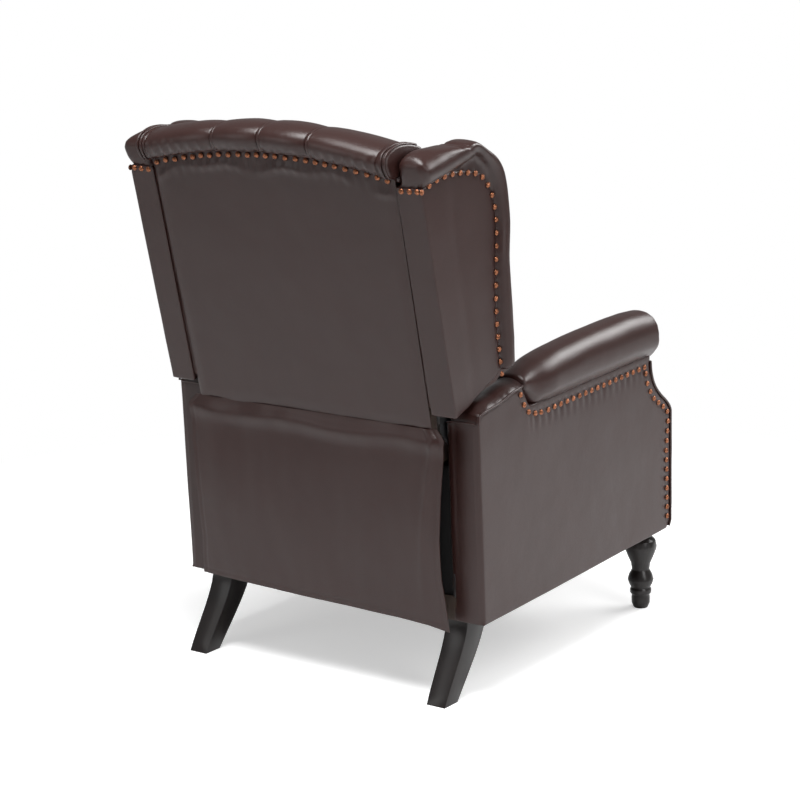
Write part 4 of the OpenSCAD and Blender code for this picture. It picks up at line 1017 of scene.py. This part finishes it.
class RECLINER_OT_outside_back(bpy.types.Operator):
    """Leather panel of the outside back, drawn tight to the nails"""
    bl_idname = "recliner.outside_back"
    bl_label = "Outside back"

    def execute(self, context):
        rings = []
        for i in range(BACK_COLS + 1):
            ring = [outside_back_point(2 * i / BACK_COLS - 1, k / BACK_ROWS) for k in range(BACK_ROWS + 1)]
            rings.append(ring + [Vector((p.x, PANEL_REAR, p.z)) for p in reversed(ring)])
        obj = loft("outside_back_leather", rings)
        press_in(obj, [(x, 0, z) for x, z in back_nail_points()], HOLLOW, (0, -1, 0))
        leather_piece(obj, BACK, "back", "outside_back", smooth=50)
        return {"FINISHED"}


# Wings

WING_FOOT = 39
WING_SEAM = 448.3
WING_TOP = 504
WING_FRONT_LINE = [(192, 39), (219, 234), (238, 313), (243, 385), (230, 425), (199, 455), (175, 471.5),
                   (146, 480), (102, 490), (58, 500), (40, 504)]
# Depths of the front and rear edge by height, and the lift of the lower edge by depth
WING_FRONT = [(z, y) for y, z in flat_path(WING_FRONT_LINE, 160)]
WING_REAR = [(490, 0), (500, 10), (504, 22)]
WING_LOW = [(0, -14), (45, -9), (78, -1), (129, 9.5), (146, 13.5), (243, 26)]
# Padding: where its top bellies out most, how thin it closes and its soft rear edge, as shares, then its
# middle and its outer face below the roll
BELLY_SHARE = 0.45
LID_SHARE = 0.3
SOFT_SHARE = 0.7
WING_MID_X = 295
WING_FLAT_X = 317.5
# The band that wraps the front edge, and the rear's setback below the seam
BAND_D = 41.3
BAND_SHARE = 0.6
REAR_SETBACK = 4.3
# The inner face steps out over a short height, beside the cushion's roll
WING_IN = (256, 276.3)
WING_IN_FROM = 444
WING_IN_RUN = 10
SIDE_STEPS = 14
BAND_STEPS = 16
PANEL_IN = 269.5


def wing_side(x, rear, seam, lid, above):
    """One side of a slice of the padding, from the wing's rear edge to its front band."""
    points = []
    for k in range(SIDE_STEPS + 1):
        soft = SOFT_SHARE if k == 0 and above else 1
        points.append((mix(WING_MID_X, x, lid * soft), -mix(rear, seam, k / SIDE_STEPS)))
    return points


def wing_ring(z, s):
    """A level slice of a wing's padding."""
    rise = max(0, (z - WING_SEAM) / (WING_TOP - WING_SEAM))
    swell = round_up(min(1, rise / BELLY_SHARE))
    lid = 1
    if rise >= BELLY_SHARE:
        lid = max(LID_SHARE, round_up((1 - rise) / (1 - BELLY_SHARE)))
    front = lookup(z, WING_FRONT)
    rear = max(-WING_ROLL * swell * lid, lookup(z, WING_REAR)) + REAR_SETBACK * (1 - swell)
    band = min(BAND_D, (front - rear) * BAND_SHARE)
    full_x = WING_OUT + WING_ROLL
    in_x = mix(*WING_IN, min(1, max(0, (z - WING_IN_FROM) / WING_IN_RUN)))
    shares = [(k / BAND_STEPS) ** 1.4 for k in range(BAND_STEPS + 1)]
    outer = wing_side(mix(WING_FLAT_X, full_x, swell), rear, front - band, lid, rise > 0)
    inner = wing_side(in_x, rear, front - band, lid, rise > 0)
    nose = []
    for n in reversed(shares[:-1]):
        out_x = mix(WING_FLAT_X, full_x, max(swell, round_up(min(1, (1 - n) * 2))))
        nose.append((mix(WING_MID_X, out_x, lid * max(LID_SHARE, round_up(min(1, n * 2)))),
                     -front + band * n))
    nose += [(mix(WING_MID_X, in_x, lid * round_up(n)), -front + band * n) for n in shares[1:]]
    return [Vector((s * x, y, z)) for x, y in outer + nose + inner[-2::-1]]


def wing_low_edge(p):
    """Lifts the lower edge of a wing's leather towards the front, as it follows the arm."""
    return lookup(-p.y, WING_LOW) * (1 - smooth_step((p.z - WING_FOOT) / 90))


def wing_padding(side, s):
    levels = [mix(WING_FOOT, 448, i / 60) for i in range(61)]
    levels += [mix(WING_SEAM, WING_TOP, (i / 30) ** 0.9) for i in range(1, 31)]
    obj = loft(side + "_wing_pad_leather", [wing_ring(z, s) for z in levels])
    soften(obj, voxel=0.004, rounds=8)

    def rule(p):
        q = Vector(p)
        q.x += s * unevenness(p, (0.8, 80, 31 + s), (0.4, 28, 3))
        q.y += unevenness(p, (0.6, 60, 41))
        q.z += max(0, wing_low_edge(p))
        if p.z > 440:
            along = (p.y + 150) * 0.8 - (p.z - 455) * 0.6
            q.z += 4 * hump(p.y, -158, 22) - 3.4 * hump(along, 0, 3.4) - 1.6 * hump(along, 11, 3.4)
        return q
    move_points(obj, rule)
    press_in(obj, [(s * WING_OUT, y, z) for y, z in wing_nail_points()], depth=1.5, toward=(-s, 0, 0))
    return leather_piece(obj, BACK, "back", side + "_wing_pad")


def wing_panel(side, s):
    """Outer panel of a wing with its rear strip, as one tight skin over the wing's rear."""
    outline = [(0, WING_FOOT), (0, 449)] + [(y - 2, z + 4) for y, z in WING_NAILS[1:]] + [(-151, WING_FOOT)]
    obj = plate(side + "_wing_panel_leather", outline, s * PANEL_IN, s * WING_OUT)
    soften(obj, voxel=0.0035, rounds=3)

    def rule(p):
        q = Vector(p)
        if abs(p.x) > 300:
            fold = hump(p.y, -62 - 0.05 * p.z, 16) * min(1, max(0, (440 - p.z) / 60))
            q.x += s * (unevenness(p, (0.7, 90, 51 + s)) - 1.2 * fold)
        if p.y > -4:
            q.y += unevenness(p, (0.6, 60, 8))
        q.z += wing_low_edge(p)
        return q
    move_points(obj, rule)
    press_in(obj, [(s * WING_OUT, y, z) for y, z in wing_nail_points()], HOLLOW, (-s, 0, 0))
    return leather_piece(obj, BACK, "back", side + "_wing_panel")


class RECLINER_OT_wings(bpy.types.Operator):
    """Leather of the wings: outer panel with its rear strip, and the padded wrap"""
    bl_idname = "recliner.wings"
    bl_label = "Wings"

    def execute(self, context):
        for side, s in SIDES:
            wing_panel(side, s)
            wing_padding(side, s)
        return {"FINISHED"}


# Seat and footrest

PUFF_FRAMES = 20


def merged_copy(node, name):
    """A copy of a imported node's mesh with its triangles merged."""
    obj = add_object(name, frame["nodes"][node].data.copy())
    bpy.ops.object.mode_set(mode="EDIT")
    bpy.ops.mesh.select_all(action="SELECT")
    bpy.ops.mesh.remove_doubles(threshold=0.00001)
    bpy.ops.mesh.normals_make_consistent(inside=False)
    bpy.ops.object.mode_set(mode="OBJECT")
    return obj


def inflate(obj, cap):
    """Swells a cushion by a cloth simulation under pressure and limits how far a point may go."""
    rest = [v.co.copy() for v in obj.data.vertices]
    activate(obj)
    cloth = obj.modifiers.new("Cloth", "CLOTH")
    cloth.settings.use_pressure = True
    cloth.settings.uniform_pressure_force = 4
    cloth.settings.effector_weights.gravity = 0
    cloth.settings.quality = 5
    scene = bpy.context.scene
    for f in range(1, PUFF_FRAMES + 1):
        scene.frame_set(f)
    bpy.ops.object.modifier_apply(modifier=cloth.name)
    scene.frame_set(1)
    for v, start in zip(obj.data.vertices, rest):
        move = v.co - start
        if move.length > cap:
            v.co = start + move * (cap / move.length)
    obj.data.update()
    return obj


def swollen_piece(node, body, voxel, rounds, cap):
    """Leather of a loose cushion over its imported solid; voxel and cap are in metres."""
    obj = soften(merged_copy(node, node + "_leather"), voxel, rounds)
    inflate(obj, cap)
    apply_modifier(obj, "SUBSURF", levels=1, render_levels=1)
    return leather_piece(obj, None, body, node)


class RECLINER_OT_seat_cushion(bpy.types.Operator):
    """Seat cushion, swollen by a cloth simulation"""
    bl_idname = "recliner.seat_cushion"
    bl_label = "Seat cushion"

    def execute(self, context):
        swollen_piece("seat_cushion", "seat", voxel=0.008, rounds=6, cap=0.006)
        return {"FINISHED"}


class RECLINER_OT_footrest_pad(bpy.types.Operator):
    """Footrest padding, swollen by a cloth simulation"""
    bl_idname = "recliner.footrest_pad"
    bl_label = "Footrest pad"

    def execute(self, context):
        swollen_piece("footrest_pad", "footrest", voxel=0.006, rounds=5, cap=0.005)
        return {"FINISHED"}


# Apron and rear shade sheet, whose black is painted shade inside the frame

# Half width and lower edge of the apron, as (height, half width) and (distance from the middle, height)
FLAP_HALVES = [(-13, 284), (13, 283), (50, 280), (87, 276), (161, 277.5), (236, 282), (342, 290), (363, 271)]
FLAP_LOWS = [(-284, -13), (-240, -5), (-181, -1), (-69, 2), (46, 3.5), (165, 7), (275, 8)]
FLAP_TOP = 360
FLAP_Y = 30
FLAP_COLS = 180
FLAP_ROWS = 110
# Heights of the upright folds, of the crumpled fold across the top and of the fold at a side, and the hem
TOP_FOLD = 2.5
TOP_CRUMPLE = 7
SIDE_FOLD = 5
HEM_DEPTH = 0.7
HEM_INSET = 9
HEM_WIDE = 1.6


def flap_point(u, v):
    """A point of the hanging apron: u across from -1 to 1, v up from 0 to 1."""
    half = lookup(v * FLAP_TOP, FLAP_HALVES)
    low = lookup(u * half, FLAP_LOWS)
    z = mix(low, FLAP_TOP, v)
    half = lookup(z, FLAP_HALVES)
    hang = FLAP_Y + (1 - v) * 6 + 10 * math.sin(math.pi * v) - 8 * u ** 4 * (1 - v)
    fold = TOP_FOLD * math.cos(math.radians(900 * u)) * v * v * u * u
    fold += unevenness((u * half, 0, z), (1.6, 120, 61)) + unevenness((u * half, 0, z * 0.4), (0.7, 35, 62))
    fold += TOP_CRUMPLE * hump(z, 336 + 3 * math.sin(u * 7), 15) * (1 - 0.5 * u * u)
    fold += SIDE_FOLD * hump(u, -0.93 + 0.1 * (1 - v), 0.03) * v
    for gap in (z - low, (1 - abs(u)) * half):
        fold -= HEM_DEPTH * hump(gap, HEM_INSET, HEM_WIDE)
    return Vector((u * half, hang + fold, z))


class RECLINER_OT_apron(bpy.types.Operator):
    """Leather apron that hangs under the outside back"""
    bl_idname = "recliner.apron"
    bl_label = "Rear apron"

    def execute(self, context):
        points = [flap_point(2 * i / FLAP_COLS - 1, k / FLAP_ROWS)
                  for k in range(FLAP_ROWS + 1) for i in range(FLAP_COLS + 1)]
        obj = mesh_object("rear_apron_leather", points, grid_faces(FLAP_ROWS, FLAP_COLS))
        apply_modifier(obj, "SOLIDIFY", thickness=0.0016, offset=0)
        leather_piece(obj, BODY, "base", "rear_flap", smooth=60)
        obj.parent = None
        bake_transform(obj)
        return {"FINISHED"}


# Width, height, middle height and depth of the black sheet behind the frame, painted shade for its inside,
# and its sag
COVER_W = 561
COVER_H = 240
COVER_MID = 165
COVER_Y = -5
COVER_SAG = 2.2


class RECLINER_OT_shade_sheet(bpy.types.Operator):
    """A black sheet behind the frame: painted shade that darkens the frame's inside beside the apron"""
    bl_idname = "recliner.dust_cover"
    bl_label = "Rear shade sheet"

    def execute(self, context):
        bpy.ops.mesh.primitive_grid_add(x_subdivisions=40, y_subdivisions=24, size=1)
        obj = bpy.context.object
        obj.name = obj.data.name = "rear_shade_sheet"
        for v in obj.data.vertices:
            x, up = v.co.x * COVER_W, v.co.y * COVER_H
            sag = COVER_SAG * (1 - (2 * v.co.x) ** 2) * (1 - (2 * v.co.y) ** 2)
            sag += unevenness((x, up, 0), (0.5, 45, 71))
            v.co = Vector((x, COVER_Y - sag, COVER_MID + up)) * MM
        apply_modifier(obj, "SOLIDIFY", thickness=0.0006, offset=0)
        outward(obj)
        finish_piece(obj, BODY, "base", "leather", material="shade_cloth")
        return {"FINISHED"}


# Stage

# The photo's camera, solved from the chair's own edges: picture width and focal length in pixels,
# sensor's width in millimetres, place in metres and turns in degrees
PHOTO_PX = 800
FOCAL_PX = 2509
SENSOR_W = 36
CAMERA_PLACE = (-2.721, 3.738, 1.575)
CAMERA_TURNS = (143.85, -13.51, -1.39)
# The floor fades to plain white between two distances from its middle
FLOOR_FADE = (0.75, 1.7)
# Lamps by name, place, size and power, and the place they face
LAMPS = (("Overhead softbox", (-0.3, 0.9, 3.0), (1.9, 1.2), 88),
         ("Side softbox", (-3.0, 0.6, 1.7), (1.1, 1.5), 24),
         ("Rim softbox", (-1.4, -2.4, 2.2), (2.2, 1.0), 62),
         ("Rear fill", (1.6, 3.2, 1.6), (1.6, 1.6), 11))
LAMP_AIM = (0, 0.1, 0.5)


def make_camera(scene):
    cam = bpy.data.cameras.new("Camera")
    cam.sensor_width = SENSOR_W
    cam.lens = FOCAL_PX / PHOTO_PX * SENSOR_W
    cam.clip_end = 50
    camera = bpy.data.objects.new("Camera", cam)
    scene.collection.objects.link(camera)
    yaw, pitch, roll = (math.radians(a) for a in CAMERA_TURNS)
    ahead = Vector((math.sin(yaw) * math.cos(pitch), math.cos(yaw) * math.cos(pitch), math.sin(pitch)))
    right = ahead.cross(Vector((0, 0, 1))).normalized()
    up = right.cross(ahead)
    x = right * math.cos(roll) + up * math.sin(roll)
    y = -right * math.sin(roll) + up * math.cos(roll)
    turn = Matrix((x, y, -ahead)).transposed().to_4x4()
    camera.matrix_world = Matrix.Translation(CAMERA_PLACE) @ turn
    scene.camera = camera


def make_floor(colour):
    """Pale floor that takes the chair's shadow and looks plain white farther out."""
    bpy.ops.mesh.primitive_plane_add(size=30, location=(0, 0, 0))
    floor = bpy.context.object
    floor.name = "Floor"
    m = new_material("White studio floor")
    path = add_node(m, "ShaderNodeLightPath")
    away = add_node(m, "ShaderNodeVectorMath", {"operation": "LENGTH"}, i0=object_place(m))
    fade = add_node(m, "ShaderNodeMapRange", Value=(away, "Value"), From_Min=FLOOR_FADE[0],
                    From_Max=FLOOR_FADE[1])
    paper = add_node(m, "ShaderNodeBsdfPrincipled", Base_Color=rgba(colour), Roughness=0.9,
                     Specular_IOR_Level=0.1)
    glow = add_node(m, "ShaderNodeEmission", Color=WHITE, Strength=0.46)
    white = add_node(m, "ShaderNodeEmission", Color=WHITE, Strength=1.0)
    lit = add_node(m, "ShaderNodeAddShader", i0=(paper, 0), i1=(glow, 0))
    paled = add_node(m, "ShaderNodeMixShader", i0=(fade, 0), i1=(lit, 0), i2=(white, 0))
    seen = add_node(m, "ShaderNodeMixShader", i0=(path, "Is Camera Ray"), i1=(paper, 0), i2=(paled, 0))
    floor.data.materials.append(close_material(m, seen))


def make_world(scene):
    """Soft white light from all sides, and plain white behind the chair."""
    world = bpy.data.worlds.new("Studio")
    world.use_nodes = True
    world.node_tree.nodes.clear()
    scene.world = world
    path = add_node(world, "ShaderNodeLightPath")
    soft = add_node(world, "ShaderNodeBackground", Color=WHITE, Strength=0.24)
    plain = add_node(world, "ShaderNodeBackground", Color=WHITE)
    both = add_node(world, "ShaderNodeMixShader", i0=(path, "Is Camera Ray"), i1=(soft, 0), i2=(plain, 0))
    add_node(world, "ShaderNodeOutputWorld", Surface=(both, 0))


def make_lamps(scene):
    for name, place, size, power in LAMPS:
        lamp = bpy.data.lights.new(name, "AREA")
        lamp.shape = "RECTANGLE"
        lamp.size, lamp.size_y = size
        lamp.energy = power
        obj = bpy.data.objects.new(name, lamp)
        scene.collection.objects.link(obj)
        obj.location = place
        aim = Vector(LAMP_AIM) - obj.location
        obj.rotation_euler = aim.to_track_quat("-Z", "Y").to_euler()


class RECLINER_OT_stage(bpy.types.Operator):
    """Make the camera, the pale floor and the studio lamps"""
    bl_idname = "recliner.stage"
    bl_label = "Stage"

    def execute(self, context):
        make_camera(context.scene)
        make_floor(context.scene.chair_colours.floor)
        make_world(context.scene)
        make_lamps(context.scene)
        context.scene.view_settings.view_transform = "Standard"
        return {"FINISHED"}


class RECLINER_OT_frame(bpy.types.Operator):
    """Finish the timber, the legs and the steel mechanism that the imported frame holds"""
    bl_idname = "recliner.frame"
    bl_label = "Frame finishes"

    def execute(self, context):
        for part in frame["record"]["subparts"]:
            obj = frame["nodes"][part["node"]]
            obj.data.materials.clear()
            obj.data.materials.append(materials()[part["material_slot"]])
            shade(obj, angle=35)
        for side, _ in SIDES:
            for end in ("front", "rear"):
                node = f"{side}_{end}_leg"
                obj = merged_copy(node, node + "_espresso")
                apply_modifier(obj, "DECIMATE", decimate_type="DISSOLVE", angle_limit=math.radians(1))
                apply_modifier(obj, "BEVEL", width=0.0015, segments=2, limit_method="ANGLE",
                               angle_limit=math.radians(30))
                finish_piece(obj, None, "base", "stained_legs", node, smooth=30)
        return {"FINISHED"}


CLASSES = (ChairSizes, ChairColours, RECLINER_OT_stage, RECLINER_OT_frame, RECLINER_OT_arms,
           RECLINER_OT_back_cushion, RECLINER_OT_outside_back, RECLINER_OT_wings, RECLINER_OT_seat_cushion,
           RECLINER_OT_footrest_pad, RECLINER_OT_apron, RECLINER_OT_shade_sheet, RECLINER_OT_nails)
STEPS = ("stage", "frame", "arms", "back_cushion", "outside_back", "wings", "seat_cushion", "footrest_pad",
         "apron", "dust_cover", "nails")


class RECLINER_PT_panel(bpy.types.Panel):
    """Sizes, colours and building steps of the chair"""
    bl_label = "Wingback Recliner"
    bl_space_type = "VIEW_3D"
    bl_region_type = "UI"
    bl_category = "Recliner"

    def draw(self, context):
        for group in (context.scene.chair_sizes, context.scene.chair_colours):
            box = self.layout.box()
            for name in group.bl_rna.properties.keys():
                if name not in ("rna_type", "name"):
                    box.prop(group, name)
        for step in STEPS:
            self.layout.operator("recliner." + step)


def register():
    for cls in CLASSES + (RECLINER_PT_panel,):
        bpy.utils.register_class(cls)
    bpy.types.Scene.chair_sizes = bpy.props.PointerProperty(type=ChairSizes)
    bpy.types.Scene.chair_colours = bpy.props.PointerProperty(type=ChairColours)


def unregister():
    del bpy.types.Scene.chair_colours
    del bpy.types.Scene.chair_sizes
    for cls in reversed(CLASSES + (RECLINER_PT_panel,)):
        bpy.utils.unregister_class(cls)


def main():
    register()
    for step in STEPS:
        getattr(bpy.ops.recliner, step)()


if __name__ == "__main__":
    main()
